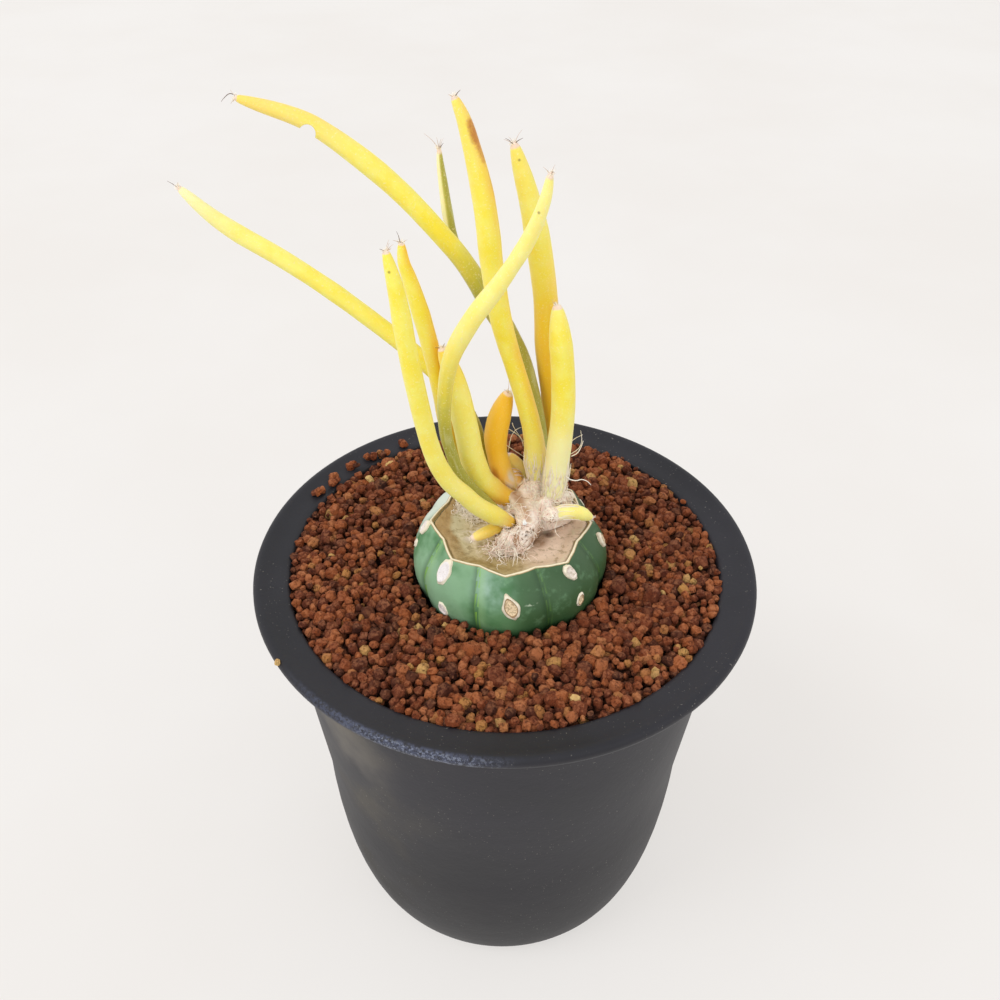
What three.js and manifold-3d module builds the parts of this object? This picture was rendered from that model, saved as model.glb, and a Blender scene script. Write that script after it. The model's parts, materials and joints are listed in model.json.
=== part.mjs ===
// Potted Astrophytum caput-medusae: a yellow scion of long finger-like tubercles, grafted on the cut top
// of a green eight-ribbed star cactus, which stands in granular soil in a dark plastic nursery pot.
// Millimetres, +Z up. The origin is the centre of the pot's base, and the plant is seen best from -Y.

import * as THREE from 'three';
import { mergeVertices } from 'three/addons/utils/BufferGeometryUtils.js';
import Module from 'manifold-3d';

const wasm = await Module();
wasm.setup();

// Clearance between neighbouring pieces
const GAP = 0.3;

// Pot
const POT_HEIGHT = 85;
const RIM_RADIUS = 45;
const MOUTH_RADIUS = 38.6;
const LIP_THICKNESS = 2.4;
const LIP_DISH = 0.7;
const SHOULDER_RADIUS = 40;
const SHOULDER_HEIGHT = 79.6;
const WAIST_RADIUS = 36.2;
const WAIST_HEIGHT = 40;
const BASE_RADIUS = 28.4;
const WALL = 1.5;
const FLOOR = 1.8;
const DRAIN_COUNT = 6;
const DRAIN_RADIUS = 4;
const DRAIN_CIRCLE = 17;
const POT_SIDES = 54;

// Soil
const SOIL_LEVEL = 84;
const GRAIN_PITCH = 3.3;
const GRAIN_HEIGHT = 1.1;
const GRAIN_TOPS = [0.35, 1];
const GRAIN_PITS = [-0.8, -0.5];
const GRAIN_SHIFT = 0.15;
const WALL_RING_SIDES = 54;

// Rootstock
const STOCK_CENTRE = [0.9, -1];
const STOCK_RADIUS = 17.3;
const STOCK_WIDEST = 86;
const STOCK_UPPER_HEIGHT = 14.3;
const STOCK_LOWER_HEIGHT = 15;
const STOCK_CUT = 94;
const RIB_CRESTS_DEG = [-48.5, -1.5, 38, 85, 131, 180, 225, 266];
const RIB_TWIST_DEG = 5.5;
const RIB_TWIST_REACH = 10;
const FURROW_DEPTH = 0.045;
const CUT_SIDE_HOLLOW = 0.035;
const SKIN = 0.8;
const CUT_DEPTH = 2.8;
const TAPROOT_RADIUS = 4.5;
const TAPROOT_TIP = 56;
const TAPROOT_OVERLAP = 4;
const BURIED_HEIGHTS = [58, 64, 69, 71.5, 73, 75.5, 79, 82.5];
const SHOWING_HEIGHTS = [85.5, 88, 90, 92, 93.3];

// Areoles on the rootstock: angle, height, width, length, and how far the top leans clockwise, in degrees
const STOCK_AREOLES = [
  [224.5, 92, 2.8, 5, 0],
  [228.5, 85.2, 2.2, 3, 25],
  [270, 89.5, 3.1, 5, 20],
  [311, 92.6, 2.4, 3.6, 20],
  [313.5, 87.3, 1.8, 2.8, -15],
  [355.5, 91, 2, 3.4, 0],
  [39, 89, 2.2, 3.2, 0],
  [88, 88.4, 2.4, 3.4, 10],
  [134, 89.2, 2.2, 3.2, -10],
  [182, 92.9, 2.2, 3.2, 0],
  [184, 89.7, 1.4, 1.8, 0],
];
const AREOLE_RISE = 0.5;

// Dried cut face of the rootstock
const CALLUS_TOP = 92.8;
const CALLUS_THICKNESS = 1.3;
const CALLUS_EDGE_RISE = 0.25;
const CALLUS_RING_SHARES = [1, 0.96, 0.84, 0.5];

// Woolly crown of the scion
const CROWN_CENTRE = [4.8, 0];
const CROWN_RADII = [6.8, 9, 6.5];
const CROWN_BUMP = 0.55;
const CROWN_LOBES = [
  { middleDeg: -130, widthDeg: 25, growth: 0.25 },
  { middleDeg: -62, widthDeg: 26, growth: -0.34 },
];
const CROWN_SIDES = 22;
const CROWN_ELEVATIONS = [0, 0.25, 0.55, 0.85, 1.15];
const BRISTLE_COUNT = 46;
const BRISTLE_RADIUS = 0.32;
const BRISTLE_LENGTHS = [3, 4.6];
const BRISTLE_ELEVATIONS = [0.4, 1.2];
const BRISTLE_ROOT_SHARE = 0.82;

// Tubercles
const TUBERCLE_SIDES = 9;
const ROOT_NARROWING = 0.62;
const ROOT_LENGTH = 6;
const USUAL_GIRTH = [1.15, 1];
const TIP_NARROWING = 0.24;
const TIP_BLUNTNESS = 0.32;
const RING_PITCH = 5.5;
const TIP_RINGS = [0, 0.3, 1, 2.4, 5];
const SPINE_RADIUS = 0.16;
const SPINE_LENGTHS = [1.4, 2.2];

// Each tubercle: largest radius, length over which the tip narrows, its spines and colour, how full it is at
// even steps from root to tip where that isn't the usual girth, and its route from root to tip
const TUBERCLES = {
  tubercle_front_left: {
    radius: 1.35,
    tip: 10,
    spines: 3,
    colour: 0xf4dc3a,
    route: [
      [1.3, -4.3, 96.2], [-0.2, -5.6, 98.2], [-1.7, -7.5, 100.6], [-4.7, -9.2, 104.1], [-6.7, -10, 107],
      [-8.8, -10.8, 110], [-10.5, -11.5, 113.9], [-11.6, -12, 118.1], [-12.3, -12.5, 122.4], [-14, -14, 136],
      [-15, -14.5, 145.6], [-16, -14.5, 151],
    ],
  },
  tubercle_crossing: {
    radius: 1.38,
    tip: 12,
    spines: 2,
    colour: 0xf5e25a,
    girth: [0.8, 0.75, 0.75, 0.68, 0.78, 0.88, 1.03, 1.03, 0.82, 0.85, 0.85],
    route: [
      [0, -2.2, 95.6], [-3.6, -3.6, 100.5], [-6, -5, 104.6], [-7.9, -5.6, 108.5], [-8.8, -6, 112.2],
      [-9.5, -6.4, 115.8], [-9.6, -7, 122.2], [-8.4, -7.5, 130.4], [-5.3, -8.5, 137.4], [-1, -9, 144],
      [2.6, -9.5, 150.5], [4.5, -10, 156], [5.1, -10, 159.6],
    ],
  },
  tubercle_stout_left: {
    radius: 1.9,
    tip: 9,
    spines: 2,
    colour: 0xf2cf3a,
    route: [
      [2, 0.9, 97], [-0.8, 0.4, 98.7], [-3.9, -1, 102.5], [-5.1, -1.8, 106.3], [-5.9, -2.4, 110.3],
      [-6.4, -2.8, 114.2], [-7.3, -3, 119.3], [-8.4, -3, 124.9], [-10, -3, 130],
    ],
  },
  tubercle_twin_left: {
    radius: 1.35,
    tip: 12,
    spines: 3,
    colour: 0xf3cf30,
    girth: [1, 1],
    route: [
      [0.4, 3.6, 95.2], [-3.6, 3, 98.5], [-7, 1.6, 103.5], [-9.7, 0.5, 113.1], [-10.6, -0.5, 120.6],
      [-11.8, -1.3, 128.9], [-13.3, -2, 136.5], [-14.4, -2.3, 141.1], [-15, -2.5, 143.5],
      [-15.2, -2.5, 146.6],
    ],
  },
  tubercle_far_left: {
    radius: 1.35,
    tip: 11,
    spines: 2,
    colour: 0xf1de42,
    route: [
      [1, 5.8, 96.2], [-3.9, 6.8, 102.2], [-6.1, 7, 109.3], [-8.5, 7, 114.6], [-11.8, 7.2, 119.2],
      [-25.9, 7.6, 132.2], [-34.6, 7.8, 138.8], [-41.1, 8, 143], [-44.5, 8, 145.7], [-48.6, 8, 150],
    ],
  },
  tubercle_short_orange: {
    radius: 1.7,
    tip: 5,
    spines: 2,
    colour: 0xe8ab34,
    girth: [1.2, 1.2, 1.1, 1.05, 1.15, 1.2, 1.15, 1],
    route: [
      [2.2, 3.7, 97.4], [-0.4, 3.7, 100.6], [-1.3, 3.7, 103.7], [-1.8, 3.9, 106.8], [-1.7, 4, 109.7],
      [-1.1, 4.5, 112.5], [-0.3, 5, 115], [0.3, 5, 116.9],
    ],
  },
  tubercle_young_nub: {
    radius: 1.75,
    tip: 3,
    spines: 0,
    colour: 0xe0a63a,
    route: [[4, 6.4, 96.2], [2.6, 7, 98.5], [1.3, 7.9, 99.9], [-0.1, 8.4, 101.3]],
  },
  tubercle_tall_centre: {
    radius: 1.68,
    tip: 14,
    spines: 2,
    colour: 0xf2d53c,
    girth: [1.1, 1.15, 0.96, 0.92, 0.92, 0.98, 1, 1, 0.95, 0.9, 0.95],
    route: [
      [5.5, 2.6, 97.8], [4.9, 3.5, 106], [4.4, 3.4, 109.9], [3, 3, 116.2], [1.3, 2.4, 122.7],
      [-0.2, 1.8, 128.3], [-1.1, 1.2, 132.4], [-1.9, 0.8, 137.5], [-2.6, 0.4, 142.8], [-3, 0, 147.1],
      [-3.6, 0, 151.7], [-4.2, 0, 154.8], [-5.2, 0, 159], [-6.2, 0, 162.7], [-7.5, 0, 165.8],
    ],
  },
  tubercle_stout_right: {
    radius: 1.85,
    tip: 7,
    spines: 2,
    colour: 0xf4e04a,
    route: [
      [7.5, -0.4, 96.5], [8.3, -0.3, 102.1], [8.7, 0, 108.5], [9.1, 0.6, 115.3], [9, 1.1, 119.8],
      [8.6, 1.5, 125], [7.9, 1.8, 130.6], [7.4, 2, 134.5],
    ],
  },
  tubercle_upper_left: {
    radius: 1.6,
    tip: 20,
    spines: 4,
    colour: 0xf0cf2e,
    girth: [1.15, 1.15, 1.15, 1.12, 1.05, 0.98, 0.97, 1, 1, 1, 1],
    route: [
      [6.6, 5.4, 97.4], [5.5, 8, 104.9], [4, 9, 113], [2.1, 9.5, 120.2], [0.3, 9.6, 124.5],
      [-1.2, 9.6, 127.6], [-3, 9.5, 130.7], [-4.9, 9.4, 134.5], [-7.5, 9.2, 138.8], [-9.6, 9, 141.6],
      [-15.6, 9, 148.6], [-20.7, 9, 153.4], [-26, 9, 157.5], [-29.5, 9, 159.6], [-38.5, 9, 162.5],
    ],
  },
  tubercle_tall_right: {
    radius: 1.78,
    tip: 14,
    spines: 4,
    colour: 0xf0c22e,
    girth: [1.15, 1.15, 1.15, 1.13, 1.1, 1.05, 1],
    route: [
      [8.2, 6.4, 95.3], [9, 11.5, 102.4], [8.3, 12, 109], [7.3, 11.2, 116.8], [6.6, 10.6, 122.5],
      [6, 9.5, 131.5], [3.5, 6, 147], [0.5, 5, 158],
    ],
  },
  tubercle_thin_green: {
    radius: 0.85,
    tip: 10,
    spines: 3,
    colour: 0x8f9a3c,
    route: [
      [5.9, 8, 95.2], [4.4, 11, 103.8], [3, 12, 110.6], [1.2, 12.8, 116.8], [-0.9, 13, 122.9],
      [-3.9, 13.3, 128.8], [-6.8, 13.6, 134.4], [-8.8, 14, 139.6], [-9.5, 14, 143.7], [-10, 14, 148],
      [-10.4, 14, 151.7], [-10.5, 14, 154],
    ],
  },
  tubercle_small_right: {
    radius: 1.55,
    tip: 2,
    spines: 0,
    colour: 0xf3e26a,
    girth: [1.15, 1.08, 0.95, 0.76, 0.55],
    route: [[7.9, -3.9, 97.6], [9.4, -3.9, 98.5], [11, -3.7, 98.5], [12.7, -3.3, 97.8], [15, -2.9, 96.3]],
  },
  tubercle_small_front: {
    radius: 1.15,
    tip: 3,
    spines: 0,
    colour: 0xefb93c,
    route: [[-0.4, -3.9, 94.4], [-1.7, -5.2, 95.8], [-3.3, -6.2, 95.8], [-5.9, -7, 94.9]],
  },
};

// Seeded random numbers, so that each run gives the same object
function randomFrom(seed) {
  let state = seed;
  return () => {
    state = (state * 1664525 + 1013904223) % 4294967296;
    return state / 4294967296;
  };
}

// A closed geometry as a solid, and back
function solidOf(geometry) {
  const bare = geometry.clone();
  bare.deleteAttribute('normal');
  bare.deleteAttribute('uv');
  const merged = mergeVertices(bare, 1e-4);
  const triVerts = Uint32Array.from(merged.index.array);
  const vertProperties = merged.attributes.position.array;
  return new wasm.Manifold(new wasm.Mesh({ numProp: 3, vertProperties, triVerts }));
}

// The main body of a solid, without the scraps that a cut leaves loose
function largestBody(solid) {
  const larger = (a, b) => (b.volume() > a.volume() ? b : a);
  return solid.decompose().reduce(larger);
}

function geometryOf(solid) {
  const mesh = solid.getMesh();
  return geometryFrom(mesh.vertProperties, mesh.triVerts);
}

function geometryFrom(positions, indices) {
  const geometry = new THREE.BufferGeometry();
  geometry.setAttribute('position', new THREE.BufferAttribute(Float32Array.from(positions), 3));
  geometry.setIndex(Array.from(indices));
  geometry.computeVertexNormals();
  return geometry;
}

// Triangles between two closed rings of points, each ring in rising angle, whatever their counts
function stitch(triangles, lower, upper) {
  let i = 0;
  let j = 0;
  while (i < lower.length || j < upper.length) {
    const lowerIsBehind = (i + 0.5) / lower.length < (j + 0.5) / upper.length;
    const takeLower = j === upper.length || (i < lower.length && lowerIsBehind);
    const a = lower[i % lower.length];
    const b = upper[j % upper.length];
    if (takeLower) {
      i += 1;
      triangles.push(a, lower[i % lower.length], b);
    } else {
      j += 1;
      triangles.push(a, upper[j % upper.length], b);
    }
  }
}

// A closed body from rings of points, with a single point at each end
function bodyFromRings(firstPoint, rings, lastPoint) {
  const positions = [];
  const addPoint = (point) => positions.push(...point) / 3 - 1;
  const first = addPoint(firstPoint);
  const ringIndices = rings.map((ring) => ring.map(addPoint));
  const last = addPoint(lastPoint);
  const triangles = [];
  const closeEnd = (ring, centre, outward) => {
    ring.forEach((a, k) => {
      const b = ring[(k + 1) % ring.length];
      triangles.push(...(outward ? [a, b, centre] : [b, a, centre]));
    });
  };
  closeEnd(ringIndices[0], first, false);
  for (let k = 1; k < ringIndices.length; k += 1) stitch(triangles, ringIndices[k - 1], ringIndices[k]);
  closeEnd(ringIndices.at(-1), last, true);
  return geometryFrom(positions, triangles);
}

function circle(centre, radius, z, count) {
  return Array.from({ length: count }, (_, k) => {
    const angle = (2 * Math.PI * k) / count;
    return [centre[0] + radius * Math.cos(angle), centre[1] + radius * Math.sin(angle), z];
  });
}

// Pot: the body's outer radius at a height, a bowl-shaped foot below a straight flared wall
function potRadius(z) {
  if (z >= WAIST_HEIGHT) {
    return THREE.MathUtils.mapLinear(z, WAIST_HEIGHT, SHOULDER_HEIGHT, WAIST_RADIUS, SHOULDER_RADIUS);
  }
  const fall = 1 - z / WAIST_HEIGHT;
  return BASE_RADIUS + (WAIST_RADIUS - BASE_RADIUS) * Math.sqrt(Math.max(0, 1 - fall * fall));
}

const WALL_HEIGHTS = [0, 0.5, 2, 5, 10, 16, 24, WAIST_HEIGHT, SHOULDER_HEIGHT];

// The pot's inner face and the soil that fills it, each a stack of [radius, z]
function innerFace(inset) {
  const floor = FLOOR + (inset - WALL);
  const heights = [floor, ...WALL_HEIGHTS.filter((z) => z > floor + 1)];
  const face = heights.map((z) => [Math.max(potRadius(z) - inset, BASE_RADIUS - WALL * 2), z]);
  face[0][0] = potRadius(floor) - inset - 1;
  return face;
}

function potGeometry() {
  const outer = WALL_HEIGHTS.map((z) => [potRadius(z), z]);
  const lipBottom = POT_HEIGHT - LIP_THICKNESS;
  const lip = [
    [SHOULDER_RADIUS + 0.6, lipBottom - 1],
    [SHOULDER_RADIUS + 2, lipBottom - 0.1],
    [RIM_RADIUS - 0.9, lipBottom],
    [RIM_RADIUS - 0.2, lipBottom + 0.6],
    [RIM_RADIUS, lipBottom + 1.3],
    [RIM_RADIUS - 0.3, POT_HEIGHT - 0.4],
    [RIM_RADIUS - 1.1, POT_HEIGHT],
    [RIM_RADIUS - 3.2, POT_HEIGHT - LIP_DISH],
    [MOUTH_RADIUS + 0.8, POT_HEIGHT - LIP_DISH - 0.1],
    [MOUTH_RADIUS, POT_HEIGHT - LIP_DISH - 0.7],
  ];
  const inner = innerFace(WALL).reverse();
  const profile = [[0, 0], ...outer, ...lip, ...inner, [0, FLOOR]];
  const lathe = new THREE.LatheGeometry(profile.map(([r, z]) => new THREE.Vector2(r, z)), POT_SIDES);
  lathe.rotateX(Math.PI / 2);
  let pot = solidOf(lathe);
  for (let k = 0; k < DRAIN_COUNT; k += 1) {
    const angle = (2 * Math.PI * (k + 0.5)) / DRAIN_COUNT;
    const drain = new THREE.CylinderGeometry(DRAIN_RADIUS, DRAIN_RADIUS, FLOOR * 4, 16);
    drain.rotateX(Math.PI / 2);
    drain.translate(DRAIN_CIRCLE * Math.cos(angle), DRAIN_CIRCLE * Math.sin(angle), FLOOR / 2);
    pot = pot.subtract(solidOf(drain));
  }
  return geometryOf(pot);
}

// Rootstock: crest radius at a height, a flattened globe that narrows to a taproot under the soil
function stockRadius(z) {
  const reach = z > STOCK_WIDEST ? STOCK_UPPER_HEIGHT : STOCK_LOWER_HEIGHT;
  const rise = Math.min(1, Math.abs(z - STOCK_WIDEST) / reach);
  const globe = STOCK_RADIUS * Math.sqrt(1 - rise * rise);
  const rootTop = STOCK_WIDEST - STOCK_LOWER_HEIGHT + TAPROOT_OVERLAP;
  const rootRise = THREE.MathUtils.clamp((z - TAPROOT_TIP) / (rootTop - TAPROOT_TIP), 0, 1);
  const root = TAPROOT_RADIUS * Math.sqrt(rootRise);
  return z > STOCK_WIDEST ? globe : Math.max(globe, root);
}

// How far the ribs have turned at a height, in degrees: fast below the cut, then slower
function ribTurn(z) {
  const fall = THREE.MathUtils.clamp((STOCK_CUT - z) / RIB_TWIST_REACH, 0, 1);
  return RIB_TWIST_DEG * Math.sqrt(fall);
}

// Angles round the ribs: 'steps' even steps from each furrow over the crest to the next furrow
function ribAngles(z, steps) {
  const turn = 2 * Math.PI;
  const crests = RIB_CRESTS_DEG.map((degrees) => THREE.MathUtils.degToRad(degrees + ribTurn(z)));
  return crests.flatMap((crest, k) => {
    const before = k === 0 ? crests.at(-1) - turn : crests[k - 1];
    const after = k === crests.length - 1 ? crests[0] + turn : crests[k + 1];
    return Array.from({ length: steps }, (_, n) => {
      const share = (2 * n) / steps - 1;
      const half = share < 0 ? (crest - before) / 2 : (after - crest) / 2;
      return { angle: crest + share * half, share: Math.abs(share), half };
    });
  });
}

// One ring of the ribbed body: straight-sided between crests at the cut, rounded ribs lower down
function ribbedRing(z, crestRadius, steps, ribbing) {
  const squareness = THREE.MathUtils.smoothstep(z, STOCK_WIDEST + 1, STOCK_CUT);
  return ribAngles(z, steps).map(({ angle, share, half }) => {
    const chord = Math.cos(half) / Math.cos(half * (1 - share));
    const rounded = 1 - FURROW_DEPTH * share ** 3;
    const factor = THREE.MathUtils.lerp(rounded, chord - CUT_SIDE_HOLLOW * share ** 2, squareness);
    const radius = crestRadius * THREE.MathUtils.lerp(1, factor, ribbing);
    return [STOCK_CENTRE[0] + radius * Math.cos(angle), STOCK_CENTRE[1] + radius * Math.sin(angle), z];
  });
}

function rootstockGeometry() {
  const heights = [...BURIED_HEIGHTS, ...SHOWING_HEIGHTS, STOCK_CUT];
  const skin = heights.map((z) => {
    const ribbing = THREE.MathUtils.smoothstep(z, STOCK_WIDEST - STOCK_LOWER_HEIGHT, STOCK_WIDEST - 3);
    return ribbedRing(z, stockRadius(z), 6, ribbing);
  });
  const mouth = ribbedRing(STOCK_CUT, stockRadius(STOCK_CUT) - SKIN, 6, 1);
  const floor = mouth.map(([x, y, z]) => [x, y, z - CUT_DEPTH]);
  let stock = solidOf(bodyFromRings(
    [...STOCK_CENTRE, TAPROOT_TIP],
    [...skin, mouth, floor],
    [...STOCK_CENTRE, STOCK_CUT - CUT_DEPTH],
  ));
  for (const areole of STOCK_AREOLES) stock = stock.add(solidOf(areoleGeometry(...areole)));
  return geometryOf(stock);
}

// A low dome near a rib's crest, turned to face out along the skin
function areoleGeometry(angleDeg, z, width, length, leanDeg) {
  const angle = THREE.MathUtils.degToRad(angleDeg);
  const radius = stockRadius(z);
  const slope = Math.atan2(stockRadius(z - 0.5) - stockRadius(z + 0.5), 1);
  const dome = new THREE.SphereGeometry(1, 10, 6);
  dome.scale(AREOLE_RISE * 2, width / 2, length / 2);
  dome.translate(-AREOLE_RISE, 0, 0);
  dome.rotateX(THREE.MathUtils.degToRad(leanDeg));
  dome.rotateY(-slope);
  dome.rotateZ(angle);
  dome.translate(STOCK_CENTRE[0] + radius * Math.cos(angle), STOCK_CENTRE[1] + radius * Math.sin(angle), z);
  return dome;
}

// Dried cut face: an uneven plate that lies sunk inside the rim of skin
function callusGeometry() {
  const random = randomFrom(11);
  const reach = stockRadius(STOCK_CUT) - SKIN - GAP;
  const outline = ribbedRing(STOCK_CUT, reach, 4, 1);
  const shrunk = (share, z) => outline.map(([x, y]) => [
    STOCK_CENTRE[0] + share * (x - STOCK_CENTRE[0]),
    STOCK_CENTRE[1] + share * (y - STOCK_CENTRE[1]),
    z,
  ]);
  const bottom = CALLUS_TOP - CALLUS_THICKNESS;
  const top = CALLUS_RING_SHARES.map((share) => shrunk(share, CALLUS_TOP).map(([x, y, z]) => {
    const rise = CALLUS_EDGE_RISE * share ** 30 * (0.4 + 0.6 * random());
    return [x, y, z + rise];
  }));
  return bodyFromRings([...STOCK_CENTRE, bottom], [shrunk(1, bottom), ...top], [...STOCK_CENTRE, CALLUS_TOP]);
}

// Soil: fills the pot, with a plain hole for the rootstock and a surface of coarse grains
function soilGeometry() {
  const random = randomFrom(5);
  const wall = innerFace(WALL + GAP);
  const holeRing = (z) => circle(STOCK_CENTRE, stockRadius(z) + GAP, z - GAP, WALL_RING_SIDES);
  const hole = [TAPROOT_TIP, ...BURIED_HEIGHTS].map(holeRing).reverse();
  const holeRadius = STOCK_RADIUS + GAP;
  const outerRadius = wall.at(-1)[0];
  const ringPitch = GRAIN_PITCH / 2;
  const rings = Math.round((outerRadius - holeRadius) / ringPitch);
  const top = Array.from({ length: rings + 1 }, (_, k) => {
    const share = k / rings;
    const radius = THREE.MathUtils.lerp(outerRadius, holeRadius, share);
    const centre = STOCK_CENTRE.map((c) => c * share);
    const grains = k === 0 ? WALL_RING_SIDES / 2 : Math.round((2 * Math.PI * radius) / GRAIN_PITCH);
    const edge = k === 0 || k === rings;
    return circle(centre, radius, SOIL_LEVEL, grains * 2).map(([x, y, z], n) => {
      if (edge) return [x, y, z - GRAIN_HEIGHT / 2];
      const peak = k % 2 === 1 && n % 2 === (k % 4 === 1 ? 0 : 1);
      const height = THREE.MathUtils.lerp(...(peak ? GRAIN_TOPS : GRAIN_PITS), random());
      const shift = () => GRAIN_SHIFT * (2 * random() - 1);
      return [x + shift(), y + shift(), z + GRAIN_HEIGHT * height];
    });
  });
  const outerRings = wall.map(([radius, z]) => circle([0, 0], radius, z, WALL_RING_SIDES));
  return bodyFromRings(
    [0, 0, wall[0][1]],
    [...outerRings, ...top, ...hole],
    [...STOCK_CENTRE, TAPROOT_TIP - GAP],
  );
}

// A closed tapering body along a curve, given as rings at [distance along, radius]
function sweep(curve, length, stops, sides) {
  const rings = [];
  const side = new THREE.Vector3(0, 1, 0);
  const ends = [];
  stops.forEach(([distance, radius], k) => {
    const share = THREE.MathUtils.clamp(distance / length, 0, 1);
    const tangent = curve.getTangentAt(share);
    const centre = curve.getPointAt(share).addScaledVector(tangent, distance - share * length);
    side.addScaledVector(tangent, -side.dot(tangent)).normalize();
    const up = new THREE.Vector3().crossVectors(tangent, side);
    if (k === 0 || k === stops.length - 1) ends.push(centre.toArray());
    rings.push(Array.from({ length: sides }, (_, n) => {
      const angle = (2 * Math.PI * n) / sides;
      return centre.clone()
        .addScaledVector(side, radius * Math.cos(angle))
        .addScaledVector(up, radius * Math.sin(angle))
        .toArray();
    }));
  });
  return bodyFromRings(ends[0], rings, ends[1]);
}

function curveOf(tubercle) {
  return new THREE.CatmullRomCurve3(tubercle.route.map((p) => new THREE.Vector3(...p)), false, 'centripetal');
}

function tubercleRadius(tubercle, distance, length) {
  const root = ROOT_NARROWING + (1 - ROOT_NARROWING) * Math.min(1, distance / ROOT_LENGTH);
  const girth = tubercle.girth ?? USUAL_GIRTH;
  const place = THREE.MathUtils.clamp(distance / length, 0, 1) * (girth.length - 1);
  const step = Math.min(Math.floor(place), girth.length - 2);
  const fullness = THREE.MathUtils.lerp(girth[step], girth[step + 1], place - step);
  const tip = THREE.MathUtils.clamp((length - distance) / tubercle.tip, 0, 1) ** TIP_BLUNTNESS;
  return tubercle.radius * root * fullness * Math.max(TIP_NARROWING, tip);
}

// The tubercle itself, or with a clearance the socket that it stands in
function tubercleBody(tubercle, clearance = 0) {
  const curve = curveOf(tubercle);
  const length = curve.getLength();
  const spread = Math.ceil((length - TIP_RINGS.at(-1)) / RING_PITCH);
  const lower = Array.from({ length: spread }, (_, k) => ((length - TIP_RINGS.at(-1)) * k) / spread);
  const upper = TIP_RINGS.map((fromTip) => length - fromTip).reverse();
  const stops = [...lower, ...upper].map((distance) => [
    distance,
    tubercleRadius(tubercle, distance, length) + clearance,
  ]);
  if (clearance > 0) stops[0][0] -= clearance;
  return sweep(curve, length, stops, TUBERCLE_SIDES);
}

// A three-sided spine from a root point along a direction
function spike(root, direction, length, radius) {
  const cone = new THREE.ConeGeometry(radius, length, 3);
  cone.translate(0, length / 2, 0);
  cone.applyQuaternion(new THREE.Quaternion().setFromUnitVectors(new THREE.Vector3(0, 1, 0), direction));
  cone.translate(root.x, root.y, root.z);
  return cone;
}

function tubercleGeometry(tubercle, seed) {
  const random = randomFrom(seed);
  const curve = curveOf(tubercle);
  let body = solidOf(tubercleBody(tubercle));
  const tangent = curve.getTangentAt(1);
  const side = new THREE.Vector3(0, 1, 0).cross(tangent).normalize();
  for (let k = 0; k < tubercle.spines; k += 1) {
    const lean = side.clone().applyAxisAngle(tangent, (2 * Math.PI * (k + 0.6 * random())) / tubercle.spines);
    const direction = tangent.clone().addScaledVector(lean, 0.35 + 0.5 * random()).normalize();
    const root = curve.getPointAt(1).addScaledVector(tangent, -0.5).addScaledVector(lean, 0.12);
    const spineLength = THREE.MathUtils.lerp(...SPINE_LENGTHS, random());
    body = body.add(solidOf(spike(root, direction, spineLength, SPINE_RADIUS)));
  }
  return geometryOf(body);
}

// How far the crown reaches at an angle: out in a lobe at the front left, in at the front right
function crownLobes(angle) {
  return CROWN_LOBES.reduce((reach, { middleDeg, widthDeg, growth }) => {
    const away = THREE.MathUtils.euclideanModulo(THREE.MathUtils.radToDeg(angle) - middleDeg + 180, 360) - 180;
    return reach + growth * Math.exp(-((away / widthDeg) ** 2));
  }, 1);
}

// Crown: a bumpy low dome with tufts of bristles, with a socket for each tubercle
function crownGeometry() {
  const random = randomFrom(23);
  const base = CALLUS_TOP + GAP;
  const [reachX, reachY, height] = CROWN_RADII;
  const ringAt = (elevation, count) => Array.from({ length: count }, (_, k) => {
    const angle = (2 * Math.PI * k) / count;
    const bumps = (CROWN_BUMP / reachX) * (Math.sin(5 * angle + 6 * elevation) + 1.2 * (random() - 0.5));
    const swell = crownLobes(angle) + bumps;
    return [
      CROWN_CENTRE[0] + reachX * swell * Math.cos(elevation) * Math.cos(angle),
      CROWN_CENTRE[1] + reachY * swell * Math.cos(elevation) * Math.sin(angle),
      base + height * Math.sin(elevation),
    ];
  });
  const rings = CROWN_ELEVATIONS.map((elevation) => ringAt(elevation, CROWN_SIDES));
  let crown = solidOf(bodyFromRings([...CROWN_CENTRE, base], rings, [...CROWN_CENTRE, base + height]));
  for (let k = 0; k < BRISTLE_COUNT; k += 1) {
    const angle = 2 * Math.PI * random();
    const elevation = THREE.MathUtils.lerp(...BRISTLE_ELEVATIONS, random());
    const out = new THREE.Vector3(
      Math.cos(elevation) * Math.cos(angle),
      Math.cos(elevation) * Math.sin(angle),
      Math.sin(elevation),
    );
    const reach = new THREE.Vector3(...CROWN_RADII).multiplyScalar(BRISTLE_ROOT_SHARE);
    reach.x *= crownLobes(angle);
    reach.y *= crownLobes(angle);
    const root = new THREE.Vector3(...CROWN_CENTRE, base).add(reach.multiply(out));
    const lean = new THREE.Vector3(random() - 0.5, random() - 0.5, random() * 0.6);
    const length = THREE.MathUtils.lerp(...BRISTLE_LENGTHS, random());
    crown = crown.add(solidOf(spike(root, out.add(lean).normalize(), length, BRISTLE_RADIUS)));
  }
  for (const tubercle of Object.values(TUBERCLES)) {
    crown = crown.subtract(solidOf(tubercleBody(tubercle, GAP)));
  }
  return geometryOf(largestBody(crown));
}

function piece(name, geometry, colour, roughness) {
  const material = new THREE.MeshStandardMaterial({ color: colour, roughness, metalness: 0 });
  const mesh = new THREE.Mesh(geometry, material);
  mesh.name = name;
  return mesh;
}

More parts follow.
